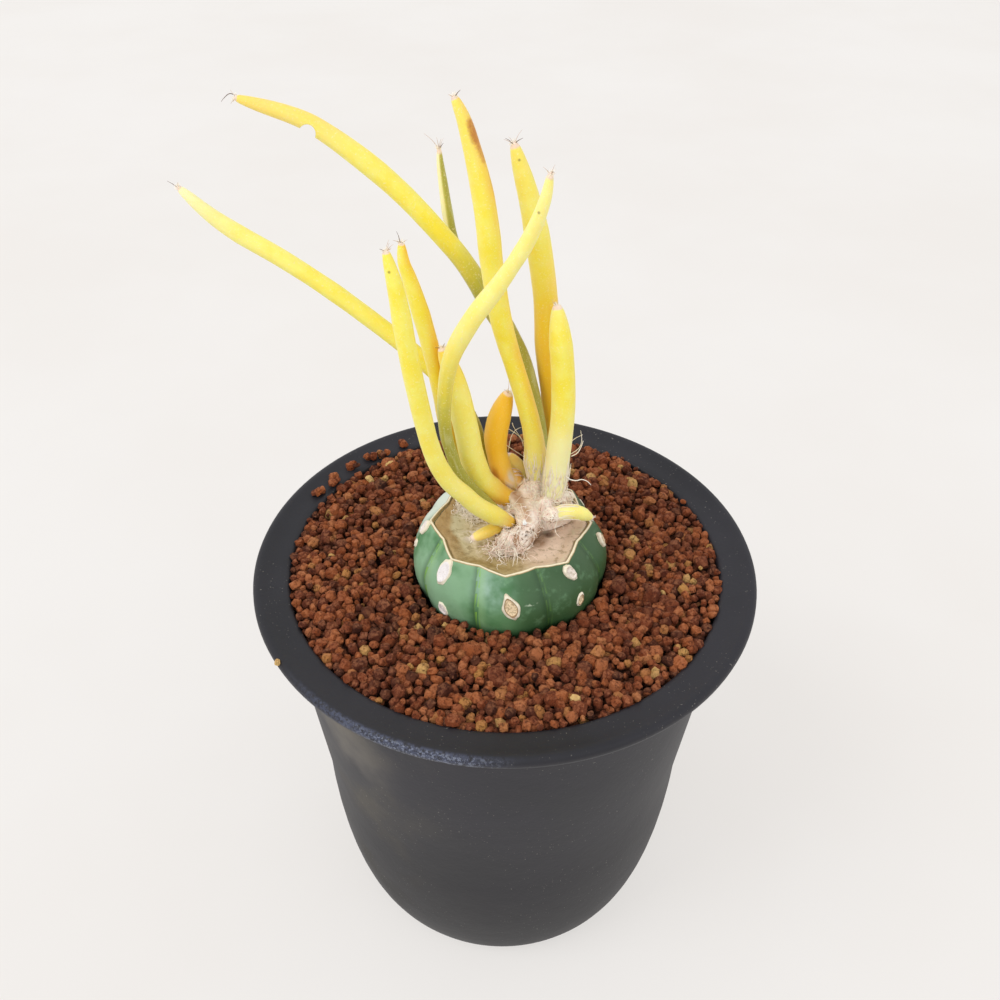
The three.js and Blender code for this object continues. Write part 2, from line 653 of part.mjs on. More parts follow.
const potted = new THREE.Group();
potted.name = 'potted_astrophytum';
potted.add(piece('pot', potGeometry(), 0x2b2d30, 0.5));
potted.add(piece('soil', soilGeometry(), 0x7a3a1c, 0.95));
potted.add(piece('rootstock', rootstockGeometry(), 0x3f7a4a, 0.55));
potted.add(piece('graft_callus', callusGeometry(), 0xb5a57c, 0.9));
potted.add(piece('scion_crown', crownGeometry(), 0xd2b39c, 0.95));
Object.entries(TUBERCLES).forEach(([name, tubercle], k) => {
  potted.add(piece(name, tubercleGeometry(tubercle, 100 + k), tubercle.colour, 0.55));
});

export default potted;
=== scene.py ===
import json
import math
import random

import bpy
from mathutils import Matrix, Quaternion, Vector, noise
from mathutils.bvhtree import BVHTree


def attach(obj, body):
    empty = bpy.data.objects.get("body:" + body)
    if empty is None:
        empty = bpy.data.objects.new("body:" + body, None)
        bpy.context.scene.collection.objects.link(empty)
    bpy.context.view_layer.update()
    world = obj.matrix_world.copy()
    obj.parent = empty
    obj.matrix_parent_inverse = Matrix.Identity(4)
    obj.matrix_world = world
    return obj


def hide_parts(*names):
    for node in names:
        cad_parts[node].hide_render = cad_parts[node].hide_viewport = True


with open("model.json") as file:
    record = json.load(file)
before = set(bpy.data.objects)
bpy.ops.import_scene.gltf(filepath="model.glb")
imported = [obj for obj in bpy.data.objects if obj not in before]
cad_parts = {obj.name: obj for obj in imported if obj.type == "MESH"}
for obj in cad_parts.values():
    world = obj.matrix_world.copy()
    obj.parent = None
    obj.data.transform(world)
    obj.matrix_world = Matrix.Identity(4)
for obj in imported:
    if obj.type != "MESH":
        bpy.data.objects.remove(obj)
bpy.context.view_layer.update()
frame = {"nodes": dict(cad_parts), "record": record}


# Pot
# A round nursery pot, moulded in one piece from dark charcoal polypropylene. Its wall flares from a bowl
# of a foot to a wide, slightly dished lip, and its flat floor is pierced by a ring of drain holes. It is
# dusty and scuffed. Painted light lies on its dusty left side, a painted highlight with painted glints runs
# along the front of its lip, and painted shade darkens it towards the foot.
POT_SIDES = 144
WAIST_HEIGHT = 40.0
WAIST_RADIUS = 36.2
SHOULDER_HEIGHT = 79.6
SHOULDER_RADIUS = 40.0
BASE_RADIUS = 28.4
WALL = 1.5
FLOOR = 1.8
LIP_OUTLINE = [
    (40.25, 80.9), (40.7, 81.7), (41.6, 82.3), (42.8, 82.5), (43.9, 82.6), (44.5, 82.8), (44.85, 83.2),
    (45.0, 83.8), (44.95, 84.3), (44.75, 84.7), (44.35, 84.95), (43.9, 85.0), (43.4, 84.9), (42.6, 84.6),
    (41.6, 84.35), (40.4, 84.2), (39.4, 84.15), (38.9, 84.0), (38.6, 83.6), (38.5, 82.6),
]
DRAIN_HOLES = 6
DRAIN_RADIUS = 4.0
DRAIN_CIRCLE = 17.0
MM = 0.001
SHARP = math.radians(40)


def deselect_all():
    if bpy.context.object and bpy.context.object.mode != "OBJECT":
        bpy.ops.object.mode_set(mode="OBJECT")
    bpy.ops.object.select_all(action="DESELECT")


def choose(piece):
    deselect_all()
    piece.select_set(True)
    bpy.context.view_layer.objects.active = piece


def turned(name, outline, sides, centre=(0, 0)):
    """A closed body with one ring for each (radius, height) in millimetres, capped at both ends."""
    deselect_all()
    radius, height = outline[0]
    spot = (centre[0] * MM, centre[1] * MM, height * MM)
    bpy.ops.mesh.primitive_circle_add(vertices=sides, radius=radius * MM, fill_type="NGON", location=spot)
    piece = bpy.context.object
    piece.name = name
    bpy.ops.object.transform_apply(location=True)
    bpy.ops.object.mode_set(mode="EDIT")
    bpy.ops.mesh.select_all(action="SELECT")
    for wider, higher in outline[1:]:
        bpy.ops.mesh.extrude_region_move(TRANSFORM_OT_translate={"value": (0, 0, (higher - height) * MM)})
        grow = wider / radius
        bpy.ops.transform.resize(value=(grow, grow, 1), center_override=(spot[0], spot[1], higher * MM))
        radius, height = wider, higher
    bpy.ops.mesh.select_all(action="SELECT")
    bpy.ops.mesh.normals_make_consistent(inside=False)
    bpy.ops.object.mode_set(mode="OBJECT")
    return piece


def pot_radius(height):
    if height >= WAIST_HEIGHT:
        share = (height - WAIST_HEIGHT) / (SHOULDER_HEIGHT - WAIST_HEIGHT)
        return WAIST_RADIUS + (SHOULDER_RADIUS - WAIST_RADIUS) * share
    fall = 1 - height / WAIST_HEIGHT
    return BASE_RADIUS + (WAIST_RADIUS - BASE_RADIUS) * math.sqrt(1 - fall * fall)


wall_heights = [0.12, 0.35, 0.8, 1.5, 2.5, 4, 6, 8.5, 12, 16, 21, 27, 33, 40, 50, 60, 70, SHOULDER_HEIGHT]
outside = [(BASE_RADIUS - 0.5, 0), (BASE_RADIUS + 0.2, 0.02)] + [(pot_radius(z), z) for z in wall_heights]
inside = [(pot_radius(z) - WALL, z) for z in reversed(wall_heights) if z > 3]
inside += [(BASE_RADIUS, FLOOR + 0.3), (BASE_RADIUS - 1, FLOOR)]
pot = turned("nursery_pot", outside + LIP_OUTLINE + inside, POT_SIDES)


def carve(piece, cutter):
    """Takes a solid out of a piece."""
    choose(piece)
    cut = piece.modifiers.new("cut", "BOOLEAN")
    cut.operation = "DIFFERENCE"
    cut.object = cutter
    bpy.ops.object.modifier_apply(modifier="cut")
    bpy.data.objects.remove(cutter)


for hole in range(DRAIN_HOLES):
    angle = 2 * math.pi * (hole + 0.5) / DRAIN_HOLES
    spot = (DRAIN_CIRCLE * MM * math.cos(angle), DRAIN_CIRCLE * MM * math.sin(angle), FLOOR / 2 * MM)
    drill = {"vertices": 32, "radius": DRAIN_RADIUS * MM, "depth": 4 * FLOOR * MM}
    deselect_all()
    bpy.ops.mesh.primitive_cylinder_add(location=spot, **drill)
    carve(pot, bpy.context.object)
choose(pot)
bpy.ops.object.shade_smooth_by_angle(angle=SHARP)


class Value:
    """What comes out of one shader node. Arithmetic on it adds Math nodes to its material."""

    def __init__(self, finish, socket):
        self.finish = finish
        self.socket = socket

    def math(self, operation, *numbers):
        return self.finish.node("ShaderNodeMath", {"operation": operation}, dict(enumerate(numbers)))

    def __add__(self, other):
        return self.math("ADD", self, other)

    __radd__ = __add__

    def __mul__(self, other):
        return self.math("MULTIPLY", self, other)

    __rmul__ = __mul__

    def between(self, low, high, start=0.0, end=1.0):
        """start where this is low or less, end where it is high or more."""
        inputs = {"Value": self, "From Min": low, "From Max": high, "To Min": start, "To Max": end}
        return self.finish.node("ShaderNodeMapRange", {"interpolation_type": "SMOOTHSTEP"}, inputs)


class Finish:
    """A material made of nodes that end in one Principled shader."""

    def __init__(self, name, **fixed):
        self.material = bpy.data.materials.new(name)
        self.material.use_nodes = True
        self.tree = self.material.node_tree
        self.shader = self.tree.nodes["Principled BSDF"]
        for socket, value in fixed.items():
            self.shader.inputs[socket.replace("_", " ")].default_value = value
        self.place = self.node("ShaderNodeTexCoord", output="Object")

    def node(self, kind, settings=None, inputs=None, output=None):
        """Adds a node: its settings first, then the numbers or Values of its sockets."""
        node = self.tree.nodes.new(kind)
        for name, value in (settings or {}).items():
            setattr(node, name, value)
        open_inputs = [socket for socket in node.inputs if socket.enabled]
        for key, value in (inputs or {}).items():
            if isinstance(key, str):
                key = [socket.name for socket in open_inputs].index(key)
            if isinstance(value, Value):
                self.tree.links.new(value.socket, open_inputs[key])
            else:
                open_inputs[key].default_value = value
        outputs = [socket for socket in node.outputs if socket.enabled]
        wanted = next(s for s in outputs if s.name == output) if output else outputs[0]
        return Value(self, wanted)

    def set(self, socket, value):
        self.tree.links.new(value.socket, self.shader.inputs[socket])

    def noise(self, scale, detail, roughness=0.5, place=None):
        inputs = {"Vector": place or self.place, "Scale": scale, "Detail": detail, "Roughness": roughness}
        return self.node("ShaderNodeTexNoise", {}, inputs)

    def mix(self, amount, first, second):
        """The first colour where amount is 0, the second where it is 1. Each is a Value or six hex digits."""
        first, second = [paint(colour) if isinstance(colour, str) else colour for colour in (first, second)]
        return self.node("ShaderNodeMix", {"data_type": "RGBA"}, {"Factor": amount, "A": first, "B": second})

    def coats(self, colour, *coats):
        """A colour with others laid over it in turn, each as far as its amount says."""
        for amount, coat in coats:
            colour = self.mix(amount, colour, coat)
        return colour

    def attribute(self, name, output="Fac"):
        return self.node("ShaderNodeAttribute", {"attribute_name": name}, output=output)

    def part(self, axis, vector=None):
        return self.node("ShaderNodeSeparateXYZ", {}, {"Vector": vector or self.place}, output=axis)

    def near(self, spot, reach, fade, squeeze=(1, 1, 1)):
        """1 close to a spot, in millimetres, and 0 from reach on. A squeezed axis counts for more."""
        place = self.node("ShaderNodeVectorMath", {"operation": "MULTIPLY"}, {0: self.place, 1: squeeze})
        middle = [a * b * MM for a, b in zip(spot, squeeze)]
        away = self.node("ShaderNodeVectorMath", {"operation": "DISTANCE"}, {0: place, 1: middle}, "Value")
        return away.between(reach * MM, reach * fade * MM)

    def bump(self, height, distance):
        self.set("Normal", self.node("ShaderNodeBump", {}, {"Height": height, "Distance": distance}))

    def on(self, piece):
        piece.data.materials.clear()
        piece.data.materials.append(self.material)


def paint(code):
    """A colour from six hex digits, as the linear values that a shader takes."""
    levels = [int(code[k:k + 2], 16) / 255 for k in (0, 2, 4)]
    linear = [level / 12.92 if level <= 0.04045 else ((level + 0.055) / 1.055) ** 2.4 for level in levels]
    return (*linear, 1.0)


plastic = Finish("charcoal_plastic", Specular_IOR_Level=0.35)
height = plastic.part("Z")
from_axis = plastic.node("ShaderNodeVectorMath", {"operation": "MULTIPLY"}, {0: plastic.place, 1: (1, 1, 0)})
from_axis = plastic.node("ShaderNodeVectorMath", {"operation": "LENGTH"}, {0: from_axis}, "Value")
clouds = plastic.noise(28, 4, 0.6)
patches = plastic.noise(75, 3, 0.55)
# Dust in patches towards the left, which also serves as painted light on the lit left side.
dust_and_left_light = patches.between(0.45, 0.72) * plastic.part("X").between(-0.005, -0.036) * 0.6
dust_and_left_light = dust_and_left_light * height.between(0.0825, 0.079)
old_dust = plastic.near((-27.5, -27, 67), 15, 0.1) * (patches + 0.4 * clouds).between(0.5, 0.8)
specks = plastic.noise(2600, 1).between(0.72, 0.76) * patches.between(0.42, 0.56)
# A painted highlight along the front of the lip's outer edge, with brighter painted glints.
painted_lip_highlight = plastic.near((-18, -40.5, 84), 23, 0.3) * plastic.noise(1900, 2, 0.7).between(0.35, 0.6)
painted_lip_highlight = painted_lip_highlight * from_axis.between(0.0438, 0.0444) * height.between(0.0832, 0.0838)
painted_lip_glint = plastic.near((-13, -42.5, 84), 16, 0.3) * plastic.noise(2300, 2, 0.7).between(0.5, 0.6)
shade = plastic.coats(
    plastic.mix(clouds.between(0.35, 0.65), "1C1C22", "26252C"),
    # Dust and painted light on the left, with a faint lightening towards the bottom.
    (dust_and_left_light + height.between(0.075, 0.02) * 0.02, "6A6458"),
    # Painted shade: darker towards the bottom.
    (height.between(0.06, 0.01) * 0.8, "121115"),
    (specks * 0.55, "8A867E"),
    (old_dust * 0.35, "8E877A"),
    (painted_lip_highlight * 0.5, "545B74"),
    (painted_lip_glint * from_axis.between(0.04425, 0.0447) * 0.38, "9AA2B6"),
)
plastic.set("Base Color", shade)
plastic.set("Roughness", 0.42 + 0.2 * clouds + 0.25 * dust_and_left_light)
plastic.bump(0.25 * plastic.noise(1500, 2) + plastic.noise(160, 2), 0.0001)
plastic.on(pot)
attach(pot, "root")
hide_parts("pot")


# Soil
# Loose baked clay granules, 1 to 2 mm across with a few larger ones, poured level with the pot's mouth and up
# to the rootstock. Each granule is tinted by its own firing, from dark brown to orange, with a rare pale one.
STOCK_CENTRE = (0.9, -1.0)
STOCK_RADIUS = 17.3
SOIL_REACH = 38.9
BED_TOP = 82.1
BED_HOLE_REACH = 16.5
# Each layer's height, the least distance between the middles of its granules, and how many it holds
GRAIN_LAYERS = [(82.3, 1.28, 1600), (83.1, 1.26, 1750), (83.9, 1.3, 1480)]
LAYER_SPREAD = (-0.45, 0.5)
GRAIN_KINDS = 10
LARGEST_GRAIN = 2.7
PALEST_CLAY = 0.985
TRIES = 60000
CELL = 2
# Granules that lie spilled on the lip, a small group at each place
LIP_TOP = 84.7
SPILL_SIZE = 3
SPILLS = [(-34.5, 22.9), (-34.3, 20.6), (-30.8, 25.6), (-27.4, 29), (-25.6, 30.9), (-21, 33.8), (-36.3, 17.8)]
# Pale granules, the last one on the lip: each one's place and size
PALE_GRAINS = [
    (-26.9, 22.3, 84.6, 1.4), (-23.4, 27.2, 84.6, 1.4), (11, -32.9, 84.6, 1.4), (-36.7, -26, 84.9, 0.9),
]


def placed(name, data):
    """A new piece from a mesh or curve, linked to the scene and chosen."""
    piece = bpy.data.objects.new(name, data)
    bpy.context.scene.collection.objects.link(piece)
    choose(piece)
    return piece


def merge_vertices(apart):
    """Merges the chosen piece's vertices that lie closer than apart, in metres."""
    bpy.ops.object.mode_set(mode="EDIT")
    bpy.ops.mesh.select_all(action="SELECT")
    bpy.ops.mesh.remove_doubles(threshold=apart)
    bpy.ops.mesh.normals_make_consistent(inside=False)
    bpy.ops.object.mode_set(mode="OBJECT")


def keep(piece, name, values):
    """Keeps a number for each vertex of a piece, for its material to read."""
    piece.data.attributes.new(name, "FLOAT", "POINT").data.foreach_set("value", values)


bed = placed("soil_bed", frame["nodes"]["soil"].data.copy())
merge_vertices(0.00001)
for vertex in bed.data.vertices:
    from_stock = math.hypot(vertex.co.x - STOCK_CENTRE[0] * MM, vertex.co.y - STOCK_CENTRE[1] * MM)
    if vertex.co.z > (BED_TOP - 0.6) * MM and from_stock > BED_HOLE_REACH * MM:
        vertex.co.z = BED_TOP * MM

draw = random.Random(41)
grain_shapes = []
for kind in range(GRAIN_KINDS):
    deselect_all()
    bpy.ops.mesh.primitive_cube_add(size=1)
    grain_shape = bpy.context.object
    bpy.ops.object.mode_set(mode="EDIT")
    bpy.ops.mesh.subdivide(number_cuts=1)
    bpy.ops.transform.tosphere(value=draw.uniform(0.6, 0.95))
    bpy.ops.mesh.quads_convert_to_tris()
    bpy.ops.object.mode_set(mode="OBJECT")
    for vertex in grain_shape.data.vertices:
        vertex.co *= draw.uniform(0.82, 1.14)
    grain_shape.data.transform(Matrix.Diagonal((1, draw.uniform(0.8, 1), draw.uniform(0.7, 0.95), 1)))
    corners = [vertex.co.copy() for vertex in grain_shape.data.vertices]
    triangles = [tuple(face.vertices) for face in grain_shape.data.polygons]
    grain_shapes.append((corners, triangles))
    bpy.data.objects.remove(grain_shape)


def scatter_grains(places, palest):
    """Corners, triangles and tints of a granule at each (x, y, z, size) in millimetres."""
    corners, triangles, tints = [], [], []
    for x, y, z, size in places:
        shape, faces = draw.choice(grain_shapes)
        turn = Quaternion([draw.gauss(0, 1) for _ in range(4)]).normalized().to_matrix() * (size * MM)
        start = len(corners)
        spot = Vector((x, y, z)) * MM
        corners.extend(spot + turn @ corner for corner in shape)
        triangles.extend(tuple(start + index for index in face) for face in faces)
        tint = 1.0 if palest == 1.0 else draw.random() * palest
        tints.extend([tint] * len(shape))
    return corners, triangles, tints


def clear_of(taken, x, y, gap):
    """Whether no place already taken lies closer than gap."""
    for column in range(int(x // CELL) - 1, int(x // CELL) + 2):
        for row in range(int(y // CELL) - 1, int(y // CELL) + 2):
            if any(math.hypot(x - a, y - b) < gap for a, b in taken.get((column, row), ())):
                return False
    return True


places = []
for level, pitch, wanted in GRAIN_LAYERS:
    taken = {}
    found = 0
    for _ in range(TRIES):
        if found == wanted:
            break
        x = draw.uniform(-SOIL_REACH, SOIL_REACH)
        y = draw.uniform(-SOIL_REACH, SOIL_REACH)
        from_stock = math.hypot(x - STOCK_CENTRE[0], y - STOCK_CENTRE[1])
        size = min(LARGEST_GRAIN, draw.lognormvariate(0.27, 0.26))
        if math.hypot(x, y) > SOIL_REACH - size / 2 or from_stock < STOCK_RADIUS + size / 2 - 0.2:
            continue
        if not clear_of(taken, x, y, pitch):
            continue
        taken.setdefault((int(x // CELL), int(y // CELL)), []).append((x, y))
        places.append((x, y, level + draw.uniform(*LAYER_SPREAD), size))
        found += 1
for x, y in SPILLS:
    for _ in range(SPILL_SIZE):
        spot = (x + draw.gauss(0, 0.6), y + draw.gauss(0, 0.6), LIP_TOP + draw.uniform(0, 0.5))
        places.append((*spot, draw.uniform(1, 1.5)))
deep = GRAIN_LAYERS[-1][0] + LAYER_SPREAD[0]
batches = {
    "clay_granules": [place for place in places if place[2] > deep],
    "clay_granules_below": [place for place in places if place[2] <= deep],
    "pale_granules": PALE_GRAINS,
}
granules = []
for name, batch in batches.items():
    corners, triangles, tints = scatter_grains(batch, 1.0 if name == "pale_granules" else PALEST_CLAY)
    grain_mesh = bpy.data.meshes.new(name)
    grain_mesh.from_pydata(corners, [], triangles)
    heap = placed(name, grain_mesh)
    keep(heap, "tint", tints)
    bpy.ops.object.shade_smooth_by_angle(angle=math.radians(26))
    granules.append(heap)

# The colour of a granule as its tint goes from 0 to 1
FIRING = [
    (0.0, "34170E"), (0.22, "602A15"), (0.5, "844121"), (0.75, "A0572D"), (0.9, "B06C44"), (0.96, "B88242"),
    (0.995, "E6C47E"),
]
clay = Finish("baked_clay", Specular_IOR_Level=0.25, Roughness=0.85)
tint = clay.attribute("tint")
pores = clay.noise(1700, 4, 0.7)
facing = clay.part("Z", clay.node("ShaderNodeNewGeometry", output="Normal"))
fired = clay.node("ShaderNodeValToRGB", {}, {"Fac": tint})
stops = fired.socket.node.color_ramp.elements
for _ in FIRING[2:]:
    stops.new(0.5)
for stop, (share, code) in zip(stops, FIRING):
    stop.position = share
    stop.color = paint(code)
body = clay.coats(
    fired,
    (clay.noise(600, 2, 0.5).between(0.35, 0.65) * 0.3, "A06042"),
    (pores.between(0.5, 0.66) * tint.between(1.0, 0.98) * 0.7, "38160C"),
    # Painted light: the upward faces of the granules are lightened.
    (facing.between(0.45, 1.0) * pores.between(0.55, 0.4) * 0.3, "C88860"),
    # Painted shade: granules lying deeper are darkened.
    (clay.part("Z").between(0.0844, 0.0826) * 0.85, "200C07"),
)
clay.set("Base Color", body)
clay.bump(pores, 0.0006)
for piece in (bed, *granules):
    clay.on(piece)
    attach(piece, "root")
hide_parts("soil")


# Rootstock
# The lower half of a living green star cactus whose top was sliced off for the graft. Eight ribs meet in
# furrows that are lined bright green, and the cut skin has dried to a thin cream edge of cork.
STOCK_WIDEST = 86.0
STOCK_CUT = 94.0
UPPER_HEIGHT = 14.3
LOWER_HEIGHT = 15.0
RIB_CRESTS = [-48.5, -1.5, 38, 85, 131, 180, 225, 266]
RIB_TWIST = 5.5
RIB_TWIST_REACH = 10.0
FURROW_DEPTH = 0.045
CUT_SIDE_HOLLOW = 0.035
# The furrow at the upper left is filled out: its angle, how far round, and how much higher it stays round
FULL_FURROW = 155.0
FULL_FURROW_REACH = 26.0
FULL_FURROW_RISE = 5.5
SKIN = 0.8
CUT_DEPTH = 2.6
TAPROOT_RADIUS = 4.5
TAPROOT_TIP = 56.0
STOCK_SIDES = 288


def stock_radius(height):
    reach = UPPER_HEIGHT if height > STOCK_WIDEST else LOWER_HEIGHT
    rise = min(1, abs(height - STOCK_WIDEST) / reach)
    globe = STOCK_RADIUS * math.sqrt(1 - rise * rise)
    if height > STOCK_WIDEST:
        return globe
    root_share = (height - TAPROOT_TIP) / (STOCK_WIDEST - LOWER_HEIGHT + 4 - TAPROOT_TIP)
    return max(globe, TAPROOT_RADIUS * math.sqrt(max(0.02, min(1, root_share))))


def smoothstep(value, low, high):
    share = min(1, max(0, (value - low) / (high - low)))
    return share * share * (3 - 2 * share)


def rib_turn(height):
    """How far the ribs have turned at a height: fast below the cut, then slower."""
    fall = min(1, max(0, (STOCK_CUT - height) / RIB_TWIST_REACH))
    return math.radians(RIB_TWIST * math.sqrt(fall))


def rib_place(angle):
    """Where an angle lies on its rib, from -1 over 0 on the crest to 1, and the rib's half width."""
    degrees = (math.degrees(angle) - RIB_CRESTS[0]) % 360 + RIB_CRESTS[0]
    crests = [RIB_CRESTS[-1] - 360, *RIB_CRESTS, RIB_CRESTS[0] + 360]

    def apart(k):
        return min(abs(degrees - crests[k]), abs(degrees - 360 - crests[k]))

    nearest = min(range(1, len(crests) - 1), key=apart)
    away = degrees - crests[nearest]
    if away > 180:
        away -= 360
    neighbour = crests[nearest + 1] if away > 0 else crests[nearest - 1]
    half = abs(neighbour - crests[nearest]) / 2
    return max(-1, min(1, away / half)), math.radians(half)


def ribbed(piece):
    """Gives a turned body round the stock's centre its ribs, and keeps each vertex's place on its rib."""
    kept = {"flank": [], "reach": []}
    for vertex in piece.data.vertices:
        x = vertex.co.x / MM - STOCK_CENTRE[0]
        y = vertex.co.y / MM - STOCK_CENTRE[1]
        height = vertex.co.z / MM
        around = math.atan2(y, x)
        flank, half = rib_place(around - rib_turn(height))
        share = abs(flank)
        fullness = max(0, 1 - abs(math.degrees(around) - FULL_FURROW) / FULL_FURROW_REACH)
        round_below = STOCK_WIDEST + 1 + FULL_FURROW_RISE * min(1, 2 * fullness)
        squareness = smoothstep(height, round_below, STOCK_CUT)
        ribbing = smoothstep(height, STOCK_WIDEST - LOWER_HEIGHT, STOCK_WIDEST - 3)
        chord = math.cos(half) / math.cos(half * (1 - share))
        rounded = 1 - FURROW_DEPTH * share ** 3 - 0.006 * smoothstep(share, 0.9, 1)
        factor = rounded + (chord - CUT_SIDE_HOLLOW * share ** 2 - rounded) * squareness
        factor = 1 + (factor - 1) * ribbing
        vertex.co.x = (STOCK_CENTRE[0] + x * factor) * MM
        vertex.co.y = (STOCK_CENTRE[1] + y * factor) * MM
        kept["flank"].append(flank)
        kept["reach"].append(math.hypot(x, y))
    for name, values in kept.items():
        keep(piece, name, values)


below_soil = [56, 58, 61, 64, 67, 69, 71.5, 73, 75.5, 79, 82]
above_soil = [84, 85.5, 87, 88.2, 89.2, 90.2, 91.2, 92, 92.7, 93.2, 93.6]
outline = [(stock_radius(z), z) for z in below_soil + above_soil]
top = stock_radius(STOCK_CUT)
outline += [(top - 0.02, 93.85), (top - 0.2, 94.05), (top - 0.5, 94.0), (top - SKIN, 93.6)]
outline += [(top - SKIN - 0.1, STOCK_CUT - CUT_DEPTH)]
stock = turned("star_cactus_stock", outline, STOCK_SIDES, STOCK_CENTRE)
ribbed(stock)
choose(stock)
bpy.ops.object.shade_smooth()

green = Finish("green_cactus_skin", Specular_IOR_Level=0.45)
side = green.part("X")
flank = green.attribute("flank")
furrow = green.node("ShaderNodeMath", {"operation": "ABSOLUTE"}, {0: flank})
clouds = green.noise(110, 4, 0.6)
mottle = green.noise(420, 3, 0.6)
shaded_flank = flank.between(-0.1, 0.45) * side.between(-0.006, 0.0) * side.between(0.012, 0.004)
# A painted sheen on the front rib.
painted_sheen = green.near((-2.2, -15.9, 91.6), 5.2, 0.05) * (clouds + 0.3 * mottle).between(0.45, 0.85)
scratch = green.near((4.2, -16.7, 89.4), 1.5, 0.2, (1, 1, 5)) * green.noise(1300, 1).between(0.45, 0.6)
at_cut = green.part("Z").between(0.0934, 0.0937)
rim = stock_radius(STOCK_CUT)
edge = green.attribute("reach") + 0.25 * green.noise(420, 2)
cork = edge.between(rim + 0.05, rim - 0.02) * at_cut
skin = green.coats(
    green.mix(clouds.between(0.35, 0.65), "467A48", "628F60"),
    # Painted light: paler towards the left side.
    (side.between(0.004, -0.014) * clouds.between(0.3, 0.6) * 0.65, "98BD9C"),
    # Painted shade: darker towards the right side.
    (side.between(-0.002, 0.008) * 0.8, "2E4A28"),
    (shaded_flank * 0.45, "284826"),
    (painted_sheen * 0.85, "A9C6BC"),
    (mottle.between(0.55, 0.75) * 0.3, "86B287"),
    # Painted shade on one side of each furrow.
    (flank.between(0.72, 0.97) * 0.55, "1E4022"),
    # Painted light on the other side of the furrows on the left half.
    (flank.between(-0.6, -0.9) * side.between(0.002, -0.004) * 0.4, "9CC48C"),
    # The furrows' bright green lining, kept faint on the right half as painted shade.
    (furrow.between(0.91, 0.98) * side.between(0.006, -0.002, 0.2, 0.9), "86B850"),
    # A painted whitish sheen at the upper left back.
    (green.near((-14.0, 6.0, 92.5), 8.5, 0.4) * 0.9, "D6DED2"),
    (scratch * 0.8, "C9D6BC"),
    (edge.between(rim + 0.14, rim + 0.08) * at_cut, "A98F62"),
    (cork, "F2E6CA"),
    (edge.between(rim - 0.26, rim - 0.42) * at_cut, "A08A5C"),
)
green.set("Base Color", skin)
green.set("Roughness", 0.36 + 0.2 * mottle + 0.35 * cork)
green.bump(mottle + 0.5 * clouds, 0.00012)
green.on(stock)
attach(stock, "root")
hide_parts("rootstock")


# Dried cut face
# The rootstock's sliced top, dried to a thin corky plate that has sunk a little below its rim of skin. It is
# olive and tan, with chalky patches and fine wrinkles. Painted shade makes it browner on the right, under the
# crown, and a painted shadow darkens the pit there.
CALLUS_TOP = 92.8
CALLUS_THICKNESS = 1.3
CALLUS_RINGS = 30
CALLUS_SIDES = 144
DISH_SHARE = 0.8
DISH_RISE = 0.75
callus_reach = stock_radius(STOCK_CUT) - SKIN - 0.15
outline = [(callus_reach * 0.6, CALLUS_TOP - CALLUS_THICKNESS), (callus_reach, CALLUS_TOP - CALLUS_THICKNESS)]
for ring in range(CALLUS_RINGS):
    share = 1 - ring / CALLUS_RINGS
    outline.append((callus_reach * share, CALLUS_TOP + DISH_RISE * smoothstep(share, DISH_SHARE, 1)))
callus = turned("dried_cut_face", outline, CALLUS_SIDES, STOCK_CENTRE)
ribbed(callus)
for vertex in callus.data.vertices:
    if vertex.co.z > (CALLUS_TOP - 0.1) * MM:
        from_centre = math.hypot(vertex.co.x / MM - STOCK_CENTRE[0], vertex.co.y / MM - STOCK_CENTRE[1])
        lumps = 0.2 * noise.noise(vertex.co * 350) + 0.1 * noise.noise(vertex.co * 1100)
        vertex.co.z += (lumps - 0.2 * smoothstep(from_centre, 12, 5)) * MM
choose(callus)
bpy.ops.object.shade_smooth()

corky = Finish("dried_cork", Roughness=0.85, Specular_IOR_Level=0.25)
side = corky.part("X")
blotches = corky.noise(190, 4, 0.6)
fine = corky.noise(900, 3, 0.6)
chalk = fine.between(0.48, 0.6) * blotches.between(0.5, 0.6)
slope = (corky.attribute("reach") + 1.2 * corky.noise(260, 3)).between(callus_reach * 0.8, callus_reach * 0.9)
slope = slope * side.between(0.007, -0.004, 0.25, 1)
slope_tone = corky.mix(fine.between(0.4, 0.6), "8C7648", "B09A6C")
slope_tone = corky.mix(side.between(-0.006, -0.011) * 0.7, slope_tone, "B88E58")
# A painted shadow in the pit under the crown's undercut.
painted_pit_shadow = corky.near((7.5, -3.1, 93), 1.5, 0.3, (1, 1.3, 1)) * fine.between(0.3, 0.5, 0.6, 1)
face = corky.coats(
    corky.mix(blotches.between(0.38, 0.62), "BDAB80", "D0BF96"),
    (side.between(0.0, 0.006) * 0.9, "E6CCB8"),
    (side.between(-0.003, -0.010) * 0.7, "C8C2A2"),
    (corky.near((-7.6, 3.0, 93), 2.6, 0.2) * fine.between(0.4, 0.6), "EDE3E0"),
    (corky.near((-5.2, -3.4, 93), 3.0, 0.3) * fine.between(0.45, 0.6), "E4D9D2"),
    (chalk * 0.8, "DDD0B4"),
    (fine.between(0.46, 0.36) * 0.5, "8C7850"),
    (slope * 0.8, slope_tone),
    (corky.near((-1.9, -10.8, 93), 5.0, 0.3, (0.7, 1.3, 1)) * 0.6, "A08850"),
    (painted_pit_shadow * 0.9, "54382A"),
    # Painted shade: a browner stretch under the crown on the right.
    (corky.near((5.2, -4.6, 93), 2.9, 0.4) * fine.between(0.35, 0.6, 0.4, 1) * 0.8, "A27C58"),
)
corky.set("Base Color", face)
corky.bump(fine + blotches, 0.0003)
corky.on(callus)
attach(callus, "root")
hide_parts("graft_callus")


